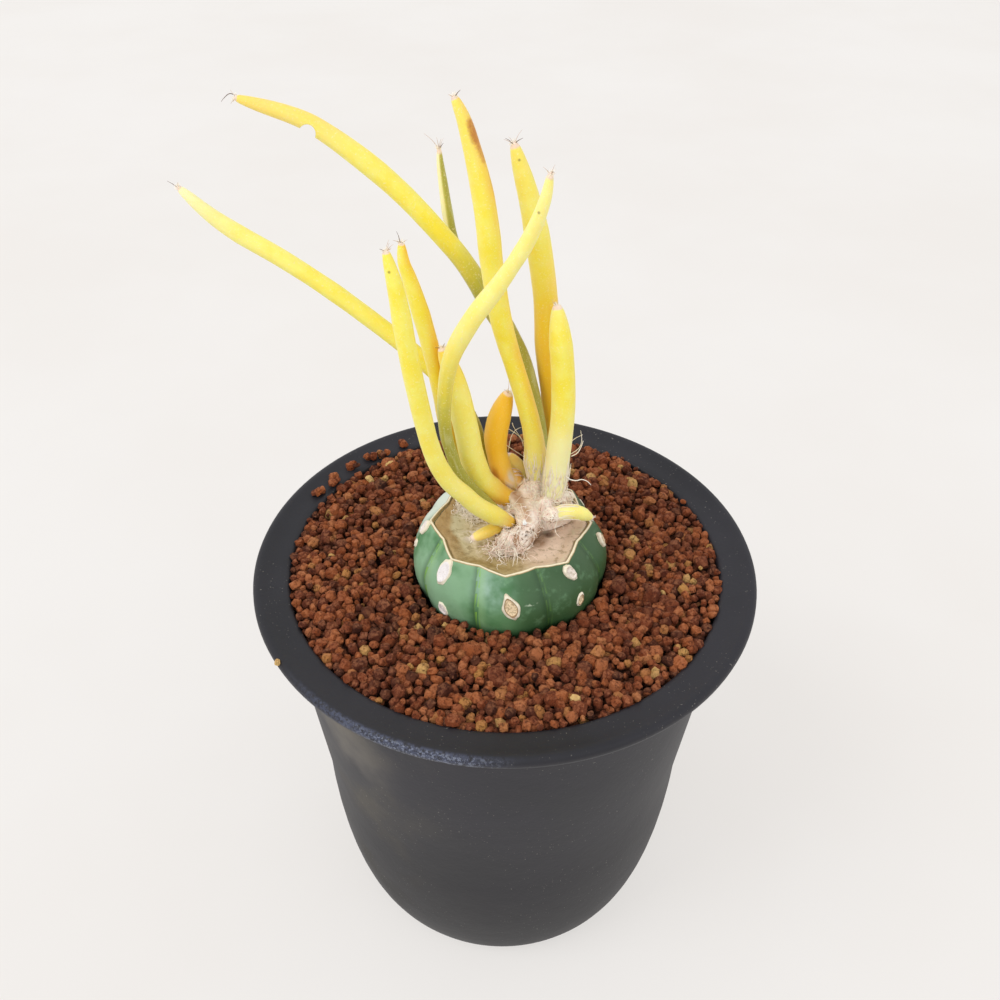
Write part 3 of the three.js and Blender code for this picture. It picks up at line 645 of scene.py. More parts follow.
# Areoles of the rootstock
# Small woolly cushions along each rib's crest, each in a raised cork ring. The young ones are white and
# the worn ones tan, and some lean with the turn of the ribs.
# Angle, height, width, length, clockwise lean, wear from 0 to 1, and how far the top is pointed
STOCK_AREOLES = [
    (224.5, 92.0, 2.8, 5.0, -6, 0.0, 0.1),
    (228.5, 85.2, 2.2, 3.0, 25, 0.1, 0.1),
    (270, 89.5, 3.1, 5.0, 20, 1.0, 0.5),
    (311, 92.6, 1.9, 3.3, 24, 0.35, -0.2),
    (313.5, 87.3, 1.8, 2.8, -15, 1.0, 0.1),
    (355.5, 91.0, 1.7, 3.4, 0, 0.9, 0.1),
    (39, 89.0, 2.2, 3.2, 0, 0.4, 0.2),
    (88, 88.4, 2.4, 3.4, 10, 0.8, 0.3),
    (134, 89.2, 2.2, 3.2, -10, 0.2, 0.1),
    (182, 92.9, 2.2, 3.2, 0, 0.2, 0.1),
    (184, 89.7, 1.4, 1.8, 0, 0.4, 0.1),
]
AREOLE_RISE = 0.5


def on_skin(angle, height):
    """The point of the skin at an angle and height, and the turn that carries +X to face out there."""
    angle = math.radians(angle)
    radius = stock_radius(height)
    slope = math.atan2(stock_radius(height - 0.5) - stock_radius(height + 0.5), 1)
    x = STOCK_CENTRE[0] + radius * math.cos(angle)
    y = STOCK_CENTRE[1] + radius * math.sin(angle)
    spot = Vector((x, y, height))
    return spot * MM, Matrix.Rotation(angle, 4, "Z") @ Matrix.Rotation(-slope, 4, "Y")


def joined(pieces, name):
    """One piece made of several."""
    deselect_all()
    for piece in pieces:
        piece.select_set(True)
    bpy.context.view_layer.objects.active = pieces[0]
    bpy.ops.object.join()
    pieces[0].name = name
    return pieces[0]


cushions = []
for angle, height, width, length, lean, age, point in STOCK_AREOLES:
    spot, turn = on_skin(angle, height)
    turn = turn @ Matrix.Rotation(math.radians(lean), 4, "X")
    deselect_all()
    bpy.ops.mesh.primitive_uv_sphere_add(segments=40, ring_count=26, radius=1)
    cushion = bpy.context.object
    edges = []
    for vertex in cushion.data.vertices:
        across = math.hypot(vertex.co.y, vertex.co.z)
        edges.append(across)
        dish = 0.5 * smoothstep(across, 0.78, 0.4) if vertex.co.x > 0 else 0
        vertex.co.x -= dish
        vertex.co.y *= 1 - point * smoothstep(vertex.co.z, -0.2, 1)
        vertex.co *= 1 + 0.12 * noise.noise(vertex.co * 2.2 + Vector((angle, height, 0)))
    cushion.data.transform(Matrix.Diagonal((AREOLE_RISE * 1.7 * MM, width / 2 * MM, length / 2 * MM, 1)))
    cushion.data.transform(Matrix.Translation(spot) @ turn @ Matrix.Translation((-0.35 * MM, 0, 0)))
    keep(cushion, "across", edges)
    keep(cushion, "age", [age] * len(edges))
    cushions.append(cushion)
cushions = joined(cushions, "stock_areoles")
choose(cushions)
bpy.ops.object.shade_smooth()

felt = Finish("areole_felt", Roughness=0.95, Specular_IOR_Level=0.15)
age = felt.attribute("age")
across = felt.attribute("across") + 0.07 * age
fuzz = felt.noise(2400, 3, 0.7)
worn = fuzz.between(0.45, 0.65) * age.between(0.0, 0.6, 0.2, 0.7)
core = felt.mix(worn, felt.mix(age, "F4EEEE", "F4DCB6"), "A08A66")
crack = across.between(0.66, 0.73) * across.between(0.85, 0.77)
whole = felt.coats(
    felt.mix(across.between(0.74, 0.82), core, "F2E8D2"),
    (crack * age.between(0.1, 0.8) * 0.8, "8A6236"),
    (across.between(0.95, 1.1) * 0.5, "A98F62"),
)
felt.set("Base Color", whole)
felt.bump(fuzz, 0.0002)
felt.on(cushions)
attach(cushions, "root")


# Tubercles
# The scion's long, finger-like tubercles, each one grown from the crown. The skin is waxy lemon yellow with
# fine white flecks, greener or more orange towards some of the feet, and each tip ends in a tuft of dry wool.
FOOT_NARROWING = 0.62
FOOT_LENGTH = 6.0
USUAL_GIRTH = [1.15, 1]
TIP_NARROWING = 0.24
TIP_BLUNTNESS = 0.32
TUBERCLE_STEP = 0.6
TUBERCLE_ROUNDNESS = 10
TIP_LENGTH = 2.4
TIP_STEPS = [1.9, 1.5, 1.15, 0.85, 0.6, 0.4, 0.22, 0.1, 0.0]
CURVE_STEPS = 40
NONE = [0, 0]
# For each: largest radius, length over which the tip narrows, girth and colours at even steps, and its route.
# Painted shade, as more orange: under says how much below its foot, and the right side's key how much on its
# right.
# tuft: how long its dry tip is.
TUBERCLES = {
    "front_left": {
        "radius": 1.35, "tip": 10, "orange": [1.0, 0.25, 0.1, 0.1, 0, 0, 0, 0, 0, 0, 0.1],
        "green": [0.25, 0.05, 0, 0, 0, 0], "pale": [0, 0.2, 0.1, 0, 0],
        "route": [
            (1.3, -4.3, 96.2), (-0.2, -5.6, 98.2), (-1.7, -7.5, 100.6), (-4.7, -9.2, 104.1), (-6.7, -10, 107),
            (-8.8, -10.8, 110), (-10.5, -11.5, 113.9), (-11.6, -12, 118.1), (-12.3, -12.5, 122.4),
            (-14, -14, 136), (-15, -14.5, 145.6), (-16, -14.5, 151),
        ],
    },
    "crossing": {
        "radius": 1.38, "tip": 12, "orange": [0.3, 0.2, 0.1, 0.1, 0.1, 0, 0],
        "green": [0.7, 1.1, 1.15, 0.75, 0.35, 0, 0, 0, 0], "pale": [0, 0, 0, 0, 0.1, 0.28, 0.32, 0.36, 0.45],
        "girth": [0.8, 0.75, 0.75, 0.68, 0.78, 0.88, 1.03, 1.03, 0.82, 0.85, 0.85], "tuft": 1.6,
        "route": [
            (0, -2.2, 95.6), (-3.6, -3.6, 100.5), (-6, -5, 104.6), (-7.9, -5.6, 108.5), (-8.8, -6, 112.2),
            (-9.5, -6.4, 115.8), (-9.6, -7, 122.2), (-8.4, -7.5, 130.4), (-5.3, -8.5, 137.4), (-1, -9, 144),
            (2.6, -9.5, 150.5), (4.5, -10, 156), (5.1, -10, 159.6),
        ],
    },
    "stout_left": {
        "radius": 1.9, "tip": 9, "orange": [1.2, 0.6, 0, 0, 0, 0, 0.2, 0.6], "under": 1.2,
        "pale": [0, 0.1, 0.15, 0.15, 0.15, 0],
        "route": [
            (2, 0.9, 97), (-0.8, 0.4, 98.7), (-3.9, -1, 102.5), (-5.1, -1.8, 106.3), (-5.9, -2.4, 110.3),
            (-6.4, -2.8, 114.2), (-7.3, -3, 119.3), (-8.4, -3, 124.9), (-10, -3, 130),
        ],
    },
    "twin_left": {
        "radius": 1.35, "tip": 12, "orange": [0.5, 0.4, 0.35, 0.4, 0.45, 0.4, 0.15, 0.1, 0.35],
        "green": [0.4, 0.5, 0.5, 0.35, 0.15, 0, 0, 0], "girth": [1, 1], "painted_right_shade": 0.45,
        "route": [
            (0.4, 3.6, 95.2), (-3.6, 3, 98.5), (-7, 1.6, 103.5), (-9.7, 0.5, 113.1), (-10.6, -0.5, 120.6),
            (-11.8, -1.3, 128.9), (-13.3, -2, 136.5), (-14.4, -2.3, 141.1), (-15, -2.5, 143.5),
            (-15.2, -2.5, 146.6),
        ],
    },
    "far_left": {
        "radius": 1.35, "tip": 11, "orange": [0, 0, 0.15, 0.1, 0, 0], "green": [0.9, 1, 0.3, 0, 0, 0, 0],
        "pale": [0, 0, 0, 0, 0.05, 0.1, 0.25, 0.9],
        "route": [
            (1, 5.8, 96.2), (-3.9, 6.8, 102.2), (-6.1, 7, 109.3), (-8.5, 7, 114.6), (-11.8, 7.2, 119.2),
            (-25.9, 7.6, 132.2), (-34.6, 7.8, 138.8), (-41.1, 8, 143), (-44.5, 8, 145.7), (-48.6, 8, 150),
        ],
    },
    "short_orange": {
        "radius": 1.7, "tip": 5, "orange": [0.9, 1.1, 1, 1], "pale": [0.5, 0.1, 0, 0, 0], "tuft": 0.9,
        "girth": [1.2, 1.2, 1.1, 1.05, 1.15, 1.2, 1.15, 1],
        "route": [
            (2.2, 3.7, 97.4), (-0.4, 3.7, 100.6), (-1.3, 3.7, 103.7), (-1.8, 3.9, 106.8), (-1.7, 4, 109.7),
            (-1.1, 4.5, 112.5), (-0.3, 5, 115), (0.3, 5, 116.9),
        ],
    },
    "young_nub": {
        "radius": 1.75, "tip": 3, "orange": [0.55, 0.55, 0.7], "pale": [0.45, 0.4, 0.2],
        "route": [(4, 6.4, 96.2), (2.6, 7, 98.5), (1.3, 7.9, 99.9), (-0.1, 8.4, 101.3)],
    },
    "tall_centre": {
        "radius": 1.68, "tip": 14, "orange": [0, 0.05, 0.15, 0.2, 0.25, 0, 0, 0, 0.2, 0.3, 0.3],
        "green": [0.2, 0.1, 0, 0], "pale": [0.5, 0.4, 0, 0, 0, 0, 0, 0, 0.1, 0.2], "painted_right_shade": 0.45,
        "girth": [1.1, 1.15, 0.96, 0.92, 0.92, 0.98, 1, 1, 0.95, 0.9, 0.95],
        "route": [
            (5.5, 2.6, 97.8), (4.9, 3.5, 106), (4.4, 3.4, 109.9), (3, 3, 116.2), (1.3, 2.4, 122.7),
            (-0.2, 1.8, 128.3), (-1.1, 1.2, 132.4), (-1.9, 0.8, 137.5), (-2.6, 0.4, 142.8), (-3, 0, 147.1),
            (-3.6, 0, 151.7), (-4.2, 0, 154.8), (-5.2, 0, 159), (-6.2, 0, 162.7), (-7.5, 0, 165.8),
        ],
    },
    "stout_right": {
        "radius": 1.85, "tip": 7, "orange": [0, 0.05, 0.1], "tuft": 1.0,
        "pale": [1, 0.95, 0.85, 0.6, 0.15, 0, 0, 0, 0.3],
        "route": [
            (7.5, -0.4, 96.5), (8.3, -0.3, 102.1), (8.7, 0, 108.5), (9.1, 0.6, 115.3), (9, 1.1, 119.8),
            (8.6, 1.5, 125), (7.9, 1.8, 130.6), (7.4, 2, 134.5),
        ],
    },
    "upper_left": {
        "radius": 1.6, "tip": 20, "orange": [0.1, 0.3, 0.35, 0.35, 0.25, 0, 0, 0.15, 0.45, 0.6],
        "green": [1, 1, 0.9, 0.9, 0.95, 0.3, 0, 0, 0, 0], "pale": [0, 0, 0, 0, 0, 0, 0.1, 0.2, 0.2],
        "girth": [1.15, 1.15, 1.15, 1.12, 1.05, 0.98, 0.97, 1, 1, 1, 1],
        "route": [
            (6.6, 5.4, 97.4), (5.5, 8, 104.9), (4, 9, 113), (2.1, 9.5, 120.2), (0.3, 9.6, 124.5),
            (-1.2, 9.6, 127.6), (-3, 9.5, 130.7), (-4.9, 9.4, 134.5), (-7.5, 9.2, 138.8), (-9.6, 9, 141.6),
            (-15.6, 9, 148.6), (-20.7, 9, 153.4), (-26, 9, 157.5), (-29.5, 9, 159.6), (-38.5, 9, 162.5),
        ],
        "step": 0.4,
    },
    "tall_right": {
        "radius": 1.78, "tip": 14, "orange": [0.7, 0.8, 0.9, 0.8, 0.7, 0.55, 0.3, 0.1, 0.05, 0.2],
        "pale": [0, 0, 0, 0, 0.1, 0.2], "girth": [1.15, 1.15, 1.15, 1.13, 1.1, 1.05, 1], "tuft": 1.3,
        "route": [
            (8.2, 6.4, 95.3), (9, 11.5, 102.4), (8.3, 12, 109), (7.3, 11.2, 116.8), (6.6, 10.6, 122.5),
            (6, 9.5, 131.5), (3.5, 6, 147), (0.5, 5, 158),
        ],
    },
    "thin_green": {
        "radius": 0.85, "tip": 10, "tuft": 1.8, "green": [1.0, 0.95, 0.8], "pale": [0.3, 0.4, 0.5],
        "route": [
            (5.9, 8, 95.2), (4.4, 11, 103.8), (3, 12, 110.6), (1.2, 12.8, 116.8), (-0.9, 13, 122.9),
            (-3.9, 13.3, 128.8), (-6.8, 13.6, 134.4), (-8.8, 14, 139.6), (-9.5, 14, 143.7), (-10, 14, 148),
            (-10.4, 14, 151.7), (-10.5, 14, 154),
        ],
    },
    "small_right": {
        "radius": 1.55, "tip": 2, "orange": [0, 0.15, 0], "pale": [0.6, 0.3, 0.3], "tuft": 0.9,
        "girth": [1.15, 1.08, 0.95, 0.76, 0.55],
        "route": [
            (7.9, -3.9, 97.6), (9.4, -3.9, 98.5), (11, -3.7, 98.5), (12.7, -3.3, 97.8), (15, -2.9, 96.3),
        ],
    },
    "small_front": {
        "radius": 1.15, "tip": 3, "orange": [0.8, 0.75, 0.6], "green": [0.6, 0.45, 0.2],
        "pale": [0.1, 0.1, 0.4], "tuft": 1.4,
        "route": [(-0.4, -3.9, 94.4), (-1.7, -5.2, 95.8), (-3.3, -6.2, 95.8), (-5.9, -7, 94.9)],
    },
}
# A bite out of a stem's lower edge, and the way that it runs through the stem
BITE = Vector((-28.7, 8.4, 157.9))
BITE_WAY = Vector((-0.18, 0.93, -0.32))
BITE_RADIUS = 1.22
# A scar down a stem's right edge: a stretch from point to point, with its width and strength
SCAR = [
    (Vector((-5.2, -0.6, 162.4)), Vector((-4.6, -0.6, 160.4)), 1.35, 1.0),
    (Vector((-4.6, -0.6, 160.4)), Vector((-3.6, -0.4, 157.6)), 1.1, 0.7),
    (Vector((-3.6, -0.4, 157.6)), Vector((-1.8, 0.2, 150.8)), 0.85, 0.45),
]
SPECKS = [(-15.6, -15.4, 148.3), (1.3, 4.2, 155.8), (3.7, -10.7, 154.5)]


def through(points):
    """Close points along a smooth curve through the given ones."""
    whole = [2 * points[0] - points[1], *points, 2 * points[-1] - points[-2]]
    dense = [points[0]]
    for before, start, end, after in zip(whole, whole[1:], whole[2:], whole[3:]):
        lead = (start - before).length ** 0.5
        span = (end - start).length ** 0.5
        trail = (after - end).length ** 0.5
        leaving = ((start - before) / lead - (end - before) / (lead + span) + (end - start) / span) * span
        arriving = ((end - start) / span - (after - start) / (span + trail) + (after - end) / trail) * span
        for step in range(1, CURVE_STEPS + 1):
            t = step / CURVE_STEPS
            near = (2 * t ** 3 - 3 * t ** 2 + 1) * start + (t ** 3 - 2 * t ** 2 + t) * leaving
            dense.append(near + (3 * t ** 2 - 2 * t ** 3) * end + (t ** 3 - t ** 2) * arriving)
    return dense


def along_path(path, distances):
    """The points at the given distances along a path."""
    travelled = [0.0]
    for a, b in zip(path, path[1:]):
        travelled.append(travelled[-1] + (b - a).length)
    spots = []
    k = 1
    for distance in distances:
        while k < len(path) - 1 and travelled[k] < distance:
            k += 1
        share = (distance - travelled[k - 1]) / (travelled[k] - travelled[k - 1])
        spots.append(path[k - 1].lerp(path[k], share))
    return spots, travelled[-1]


def drawn(name, strokes, roundness=0):
    """Closed tubes along strokes, each a list of (point, radius) in millimetres, as one piece."""
    curve = bpy.data.curves.new(name, "CURVE")
    curve.dimensions = "3D"
    curve.bevel_depth = MM
    curve.bevel_resolution = roundness
    curve.use_fill_caps = True
    for stroke in strokes:
        spline = curve.splines.new("POLY")
        spline.points.add(len(stroke) - 1)
        for point, (place, radius) in zip(spline.points, stroke):
            point.co = (*(place * MM), 1)
            point.radius = radius
    placed(name, curve)
    bpy.ops.object.convert(target="MESH")
    merge_vertices(0.000002)
    bpy.ops.object.shade_smooth()
    return bpy.context.object


def eased(levels, share):
    """A level between evenly spaced ones."""
    place = min(max(share, 0), 0.99999) * (len(levels) - 1)
    low = int(place)
    return levels[low] + (levels[low + 1] - levels[low]) * (place - low)


def tubercle_radius(shape, distance, length):
    foot = FOOT_NARROWING + (1 - FOOT_NARROWING) * min(1, distance / FOOT_LENGTH)
    fullness = eased(shape.get("girth", USUAL_GIRTH), distance / length)
    tip = min(1, max(0, (length - distance) / shape["tip"])) ** TIP_BLUNTNESS
    return shape["radius"] * foot * fullness * max(TIP_NARROWING, tip)


wax = Finish(
    "yellow_cactus_skin", Specular_IOR_Level=0.4, Sheen_Weight=0.15,
    Subsurface_Weight=0.25, Subsurface_Radius=(1.0, 0.6, 0.2), Subsurface_Scale=0.0012,
)
straight = wax.attribute("straight", "Vector")
lengthwise = wax.node("ShaderNodeVectorMath", {"operation": "MULTIPLY"}, {0: straight, 1: (700, 700, 90)})
streaks = wax.noise(1.0, 3, 0.6, lengthwise)
clouds = wax.noise(260, 3, 0.6)
flecks = wax.noise(3200, 2, 0.7)
orange = wax.attribute("orange")
olive = wax.attribute("green")
dry = wax.attribute("dry")
white_foot = wax.near((0.8, 2.2, 100.2), 2.2, 0.1, (1.7, 1, 0.65)) * streaks.between(0.3, 0.5)
flesh = wax.coats(
    wax.mix(clouds.between(0.35, 0.65), "F8E53F", "F9EE6A"),
    ((orange + 0.5 * clouds + 0.25 * streaks).between(0.45, 1.35), "F7C226"),
    (wax.attribute("pale") * 0.9, "FAF5C8"),
    ((olive + 0.5 * streaks + 0.4 * clouds).between(0.5, 1.5), "A6A238"),
    (streaks.between(0.54, 0.7) * olive.between(0.3, 1.0) * 0.55, "D2D3A0"),
    (flecks.between(0.58, 0.7) * orange.between(0.9, 0.3, 0.12, 0.4), "FDF8D8"),
    (white_foot * 0.85, "E6DFDC"),
    (wax.near((-1.9, 2.3, 101.9), 1.6, 0.2, (1.5, 1, 0.7)) * 0.5, "C07A2C"),
    ((wax.attribute("stain") + 0.5 * clouds + 0.8 * flecks).between(0.75, 1.75) * 0.85, "B8651E"),
    (wax.near((5.3, -10.4, 159.4), 0.9, 0.3) * 0.6, "B48A50"),
    *((wax.near(speck, 0.3, 0.2) * 0.65, "6E5420") for speck in SPECKS),
    ((dry + 0.6 * streaks + 0.3 * clouds).between(0.75, 1.3), "F0D8C4"),
)
wax.set("Base Color", flesh)
wax.set("Roughness", 0.4 + 0.2 * clouds + 0.3 * dry)
wax.bump(0.6 * streaks + 0.4 * flecks, 0.0001)

slot_of = {part["node"]: part["material_slot"] for part in frame["record"]["subparts"]}
frames_of = {}
girths = {}
for name, shape in TUBERCLES.items():
    path = through([Vector(point) for point in shape["route"]])
    _, length = along_path(path, [0])
    step = shape.get("step", TUBERCLE_STEP)
    lower = [step * k for k in range(int((length - TIP_LENGTH) / step) + 1)]
    distances = lower + [length - from_tip for from_tip in TIP_STEPS]
    spots, _ = along_path(path, distances)
    seed = Vector((len(name), length, 0))
    radii = [tubercle_radius(shape, d, length) * (1 + 0.035 * noise.noise(seed + Vector((d * 0.22, 0, 0))))
             for d in distances]
    radii[-1] *= 0.35
    piece = drawn("skin_" + name, [list(zip(spots, radii))], TUBERCLE_ROUNDNESS)
    if name == "upper_left":
        deselect_all()
        ball = {"segments": 32, "ring_count": 20, "radius": BITE_RADIUS * MM}
        bpy.ops.mesh.primitive_uv_sphere_add(location=BITE * MM, **ball)
        bite = bpy.context.object
        bite.scale = (1, 1, 2.5)
        bite.rotation_euler = BITE_WAY.to_track_quat("Z", "Y").to_euler()
        carve(piece, bite)
        bpy.ops.object.shade_smooth_by_angle(angle=SHARP)
    side = Vector((0, 1, 0))
    frames = []
    for k, spot in enumerate(spots):
        tangent = (spots[min(k + 1, len(spots) - 1)] - spots[max(k - 1, 0)]).normalized()
        side = (side - tangent * side.dot(tangent)).normalized()
        frames.append((spot, side.copy(), tangent.cross(side), tangent))
    straight_places = []
    levels = {"orange": [], "green": [], "pale": [], "stain": [], "dry": []}
    for vertex in piece.data.vertices:
        place = vertex.co / MM
        k = min(range(len(spots)), key=lambda n: (spots[n] - place).length_squared)
        spot, across, up, _ = frames[k]
        off = place - spot
        sideways = off.dot(across)
        upwards = off.dot(up)
        ridge = 1 + 0.02 * noise.noise(Vector((sideways * 1.4, upwards * 1.4, distances[k] * 0.15)) + seed)
        vertex.co = (spot + off * ridge) * MM
        share = distances[k] / length
        straight_places.extend((sideways * MM, upwards * MM, distances[k] * MM))
        facing = off.normalized()
        # Painted shade on the underside near the foot.
        below = shape.get("under", 0) * max(0, -facing.z) * smoothstep(share, 0.35, 0.1)
        stripe = 0.75 * smoothstep(facing.x, 0.2, -0.4) if name == "thin_green" else 0
        own = {level: eased(shape.get(level, NONE), share) for level in ("orange", "green", "pale")}
        # Painted shade: more orange on each stem's right side, and on the underside near the foot.
        levels["orange"].append(own["orange"] + shape.get("painted_right_shade", 0.2) * max(0, facing.x) + below)
        levels["green"].append(own["green"] - stripe)
        # Painted light: paler on each stem's left side.
        levels["pale"].append(min(1, own["pale"] + stripe + 0.12 * smoothstep(facing.x, -0.3, -1)))
        levels["dry"].append(smoothstep(length - distances[k], shape.get("tuft", 0.8), 0.15))
        scarred = 0
        for start, end, width, strength in SCAR:
            way = end - start
            along = min(1, max(0, (place - start).dot(way) / way.length_squared))
            away = (place - start.lerp(end, along)).length
            scarred = max(scarred, strength * smoothstep(away, width, width * 0.2))
        levels["stain"].append(scarred)
    unbent = piece.data.attributes.new("straight", "FLOAT_VECTOR", "POINT")
    unbent.data.foreach_set("vector", straight_places)
    for level, values in levels.items():
        keep(piece, level, values)
    wax.on(piece)
    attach(piece, "root")
    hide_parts("tubercle_" + name)
    slot_of["tubercle_" + name]
    frames_of[name] = frames
    girths[name] = radii


# Tip hairs
# A few thin hairs, dark or pale, stand out of the dry wool at each tubercle's tip. They are the remains of
# its spines, 1 to 3 mm long and mostly curved.
# For each tip: the length and lean of every dark hair, then of every pale one
TIP_HAIRS = {
    "upper_left": ([], [(1.2, 0.5), (1.0, 0.9), (1.0, 0.4)]),
    "far_left": ([(2.0, 0.35)], [(0.9, 0.6)]),
    "tall_centre": ([(1.4, 0.9)], [(0.8, 0.7), (1.0, 0.5)]),
    "tall_right": ([(1.8, 0.9), (1.5, 1.0), (1.0, 0.6)], [(2.2, 0.9), (1.5, 0.7), (1.2, 0.5)]),
    "crossing": ([(0.8, 0.5)], [(1.6, 0.9), (1.2, 0.9), (1.4, 0.7)]),
    "thin_green": ([(1.0, 0.5)], [(3.0, 0.45), (2.4, 0.35), (2.2, 0.5), (1.6, 0.3)]),
    "front_left": ([(0.8, 0.6)], [(1.6, 0.7), (1.3, 0.8), (1.2, 0.4), (1.0, 0.9)]),
    "twin_left": ([(2.2, 0.25)], [(1.3, 0.8), (1.4, 0.6), (1.0, 0.9)]),
    "stout_left": ([(1.3, 0.6), (1.0, 0.9)], [(0.8, 0.8)]),
    "stout_right": ([], [(1.2, 0.9), (1.0, 0.7), (1.3, 0.4)]),
    "short_orange": ([], [(2.0, 0.4), (1.6, 0.8), (1.2, 0.9)]),
    "small_right": ([], [(1.0, 0.6), (0.8, 0.9)]),
    "small_front": ([], [(0.9, 0.6), (0.8, 0.9)]),
    "young_nub": ([], [(0.8, 0.8)]),
}
HAIR_RADII = {"dark": 0.075, "pale": 0.06}
HAIR_COLOURS = {"dark": ("4A3A34", "8A6A58"), "pale": ("E2CCBA", "BFA28E")}
HAIR_STEPS = 6
TUFT_FIBRES = 26
# The long hair that hooks over the far end of the upper left tubercle
HOOKED_HAIR = [(-38.1, 9, 162.7), (-39.0, 9, 163.0), (-39.8, 9, 162.5), (-40.4, 9, 161.9)]
WOOL_COLOURS = {
    "cream": ("FCEFDA", "FFFAF0"), "pink": ("F6DACA", "FCEAE0"), "brown": ("AC8464", "C8A080"),
    "dark": ("7A5A42", "A88A68"), "white": ("FFFDF8", "FFFFFF"),
}


def any_way():
    return Vector([draw.gauss(0, 1) for _ in range(3)]).normalized()


def wandering(start, heading, steps, stride, curl):
    """A path from start that turns a little at every step."""
    path = [start]
    for _ in range(steps):
        heading = (heading + any_way() * curl).normalized()
        path.append(path[-1] + heading * stride)
    return path


def tapered(path, thickest, thinnest=0.3):
    return [(spot, thickest * (1 + (thinnest - 1) * k / (len(path) - 1))) for k, spot in enumerate(path)]


draw = random.Random(77)
hair_strokes = {"dark": [], "pale": []}
wool_strokes = []
for name, hairs in TIP_HAIRS.items():
    spot, across, up, tangent = frames_of[name][-1]
    for tone, wanted in zip(hair_strokes, hairs):
        for length, lean in wanted:
            turn = draw.uniform(0, 2 * math.pi)
            outward = across * math.cos(turn) + up * math.sin(turn)
            heading = (tangent + outward * lean).normalized()
            path = [spot - tangent * 0.25 + outward * 0.12]
            for _ in range(HAIR_STEPS):
                heading = (heading + outward * 0.16 * lean + any_way() * 0.06).normalized()
                path.append(path[-1] + heading * (length / HAIR_STEPS))
            hair_strokes[tone].append(tapered(path, HAIR_RADII[tone]))
    for _ in range(TUFT_FIBRES):
        outward = across * draw.gauss(0, 1) + up * draw.gauss(0, 1)
        start = spot - tangent * draw.uniform(0, 0.5) + outward.normalized() * draw.uniform(0.05, 0.3)
        wool_strokes.append(tapered(wandering(start, tangent + outward * 0.7, 3, 0.2, 0.6), 0.06))
hooked = through([Vector(spot) for spot in HOOKED_HAIR])[::CURVE_STEPS // 4]
hair_strokes["dark"].append(tapered(hooked, HAIR_RADII["dark"]))


def two_toned(name, scale, colours, **fixed):
    """A finish that drifts between two colours."""
    finish = Finish(name, **fixed)
    finish.set("Base Color", finish.mix(finish.noise(scale, 2), *colours))
    return finish


for tone, strokes in hair_strokes.items():
    hairs = drawn("tip_hairs_" + tone, strokes)
    two_toned("hair_" + tone, 900, HAIR_COLOURS[tone], Roughness=0.5).on(hairs)
    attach(hairs, "root")
fibres = {tone: two_toned("wool_" + tone, 800, colours, Roughness=0.8, Specular_IOR_Level=0.2)
          for tone, colours in WOOL_COLOURS.items()}
tip_wool = drawn("tip_wool", wool_strokes)
fibres["cream"].on(tip_wool)
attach(tip_wool, "root")


# Crown
# The scion's growing point: a lump of dried areoles, matted over with its own wool. The fine fibres, cream
# and pinkish white, lie along its slopes and climb the feet of the stems, and some stand out as loose curls.
# Places without fibres, each with its reach: the dried brown band, two pits painted dark as shadow, and flesh
# behind a stem
BROWN_BAND = [
    ((1.8, -0.6, 99.6), 1.1), ((2.4, -1.8, 99.4), 1.1), ((2.9, -3.2, 99.5), 1.1), ((3.4, -4.5, 99.3), 1.1),
    ((3.8, -5.4, 98.5), 0.9),
]
PAINTED_SHADOW_PITS = [((3.6, -7.6, 96.4), 0.7), ((7.4, -4.4, 94.4), 1.6)]
GOLDEN_FLESH = ((1.6, 4.0, 99.9), 2.1)
# Mounds of wool round the feet of the stems: each one's middle and radius
MOUNDS = [
    (4.9, 1.9, 98.9, 2.2), (3.6, 1.6, 99.2, 1.6), (7.7, -0.6, 98.1, 2.3), (9.5, -0.4, 98.1, 1.5),
    (10.7, 0.8, 98.0, 1.2), (7.9, -4.1, 97.9, 1.7), (6.6, -2.4, 98.6, 1.6), (1.5, 4.4, 99.7, 1.5),
    (2.4, 3.2, 98.7, 1.3), (1.9, -0.2, 98.2, 1.8),
]
CROWN_CENTRE = Vector((4.8, 0.0, 93.1))
# The crown is undercut at its front: the undercut's middle and half width in degrees, and its depth
HOLLOW_MIDDLE = -56
HOLLOW_HALF_WIDTH = 52
HOLLOW_DEPTH = 0.42
LYING_FIBRES = 1900
LOOSE_CURLS = 260
DARK_BITS = 18
WHITE_BITS = 16
FRONT_FIBRES = 300
# Fibres that climb a stem: how far up they start, and how many
CLIMBING = {
    "tall_centre": (6.0, 130), "stout_right": (8.0, 260), "tall_right": (6.0, 60), "small_right": (1.8, 26),
    "front_left": (1.2, 20),
}
# Tufts of loose wool on the dried cut face: middle, spread and number of fibres
CUT_FACE_TUFTS = [((-7.6, 3.6), 0.9, 90), ((-6.2, 1.7), 0.6, 50), ((-5.2, 0.2), 0.7, 50)]
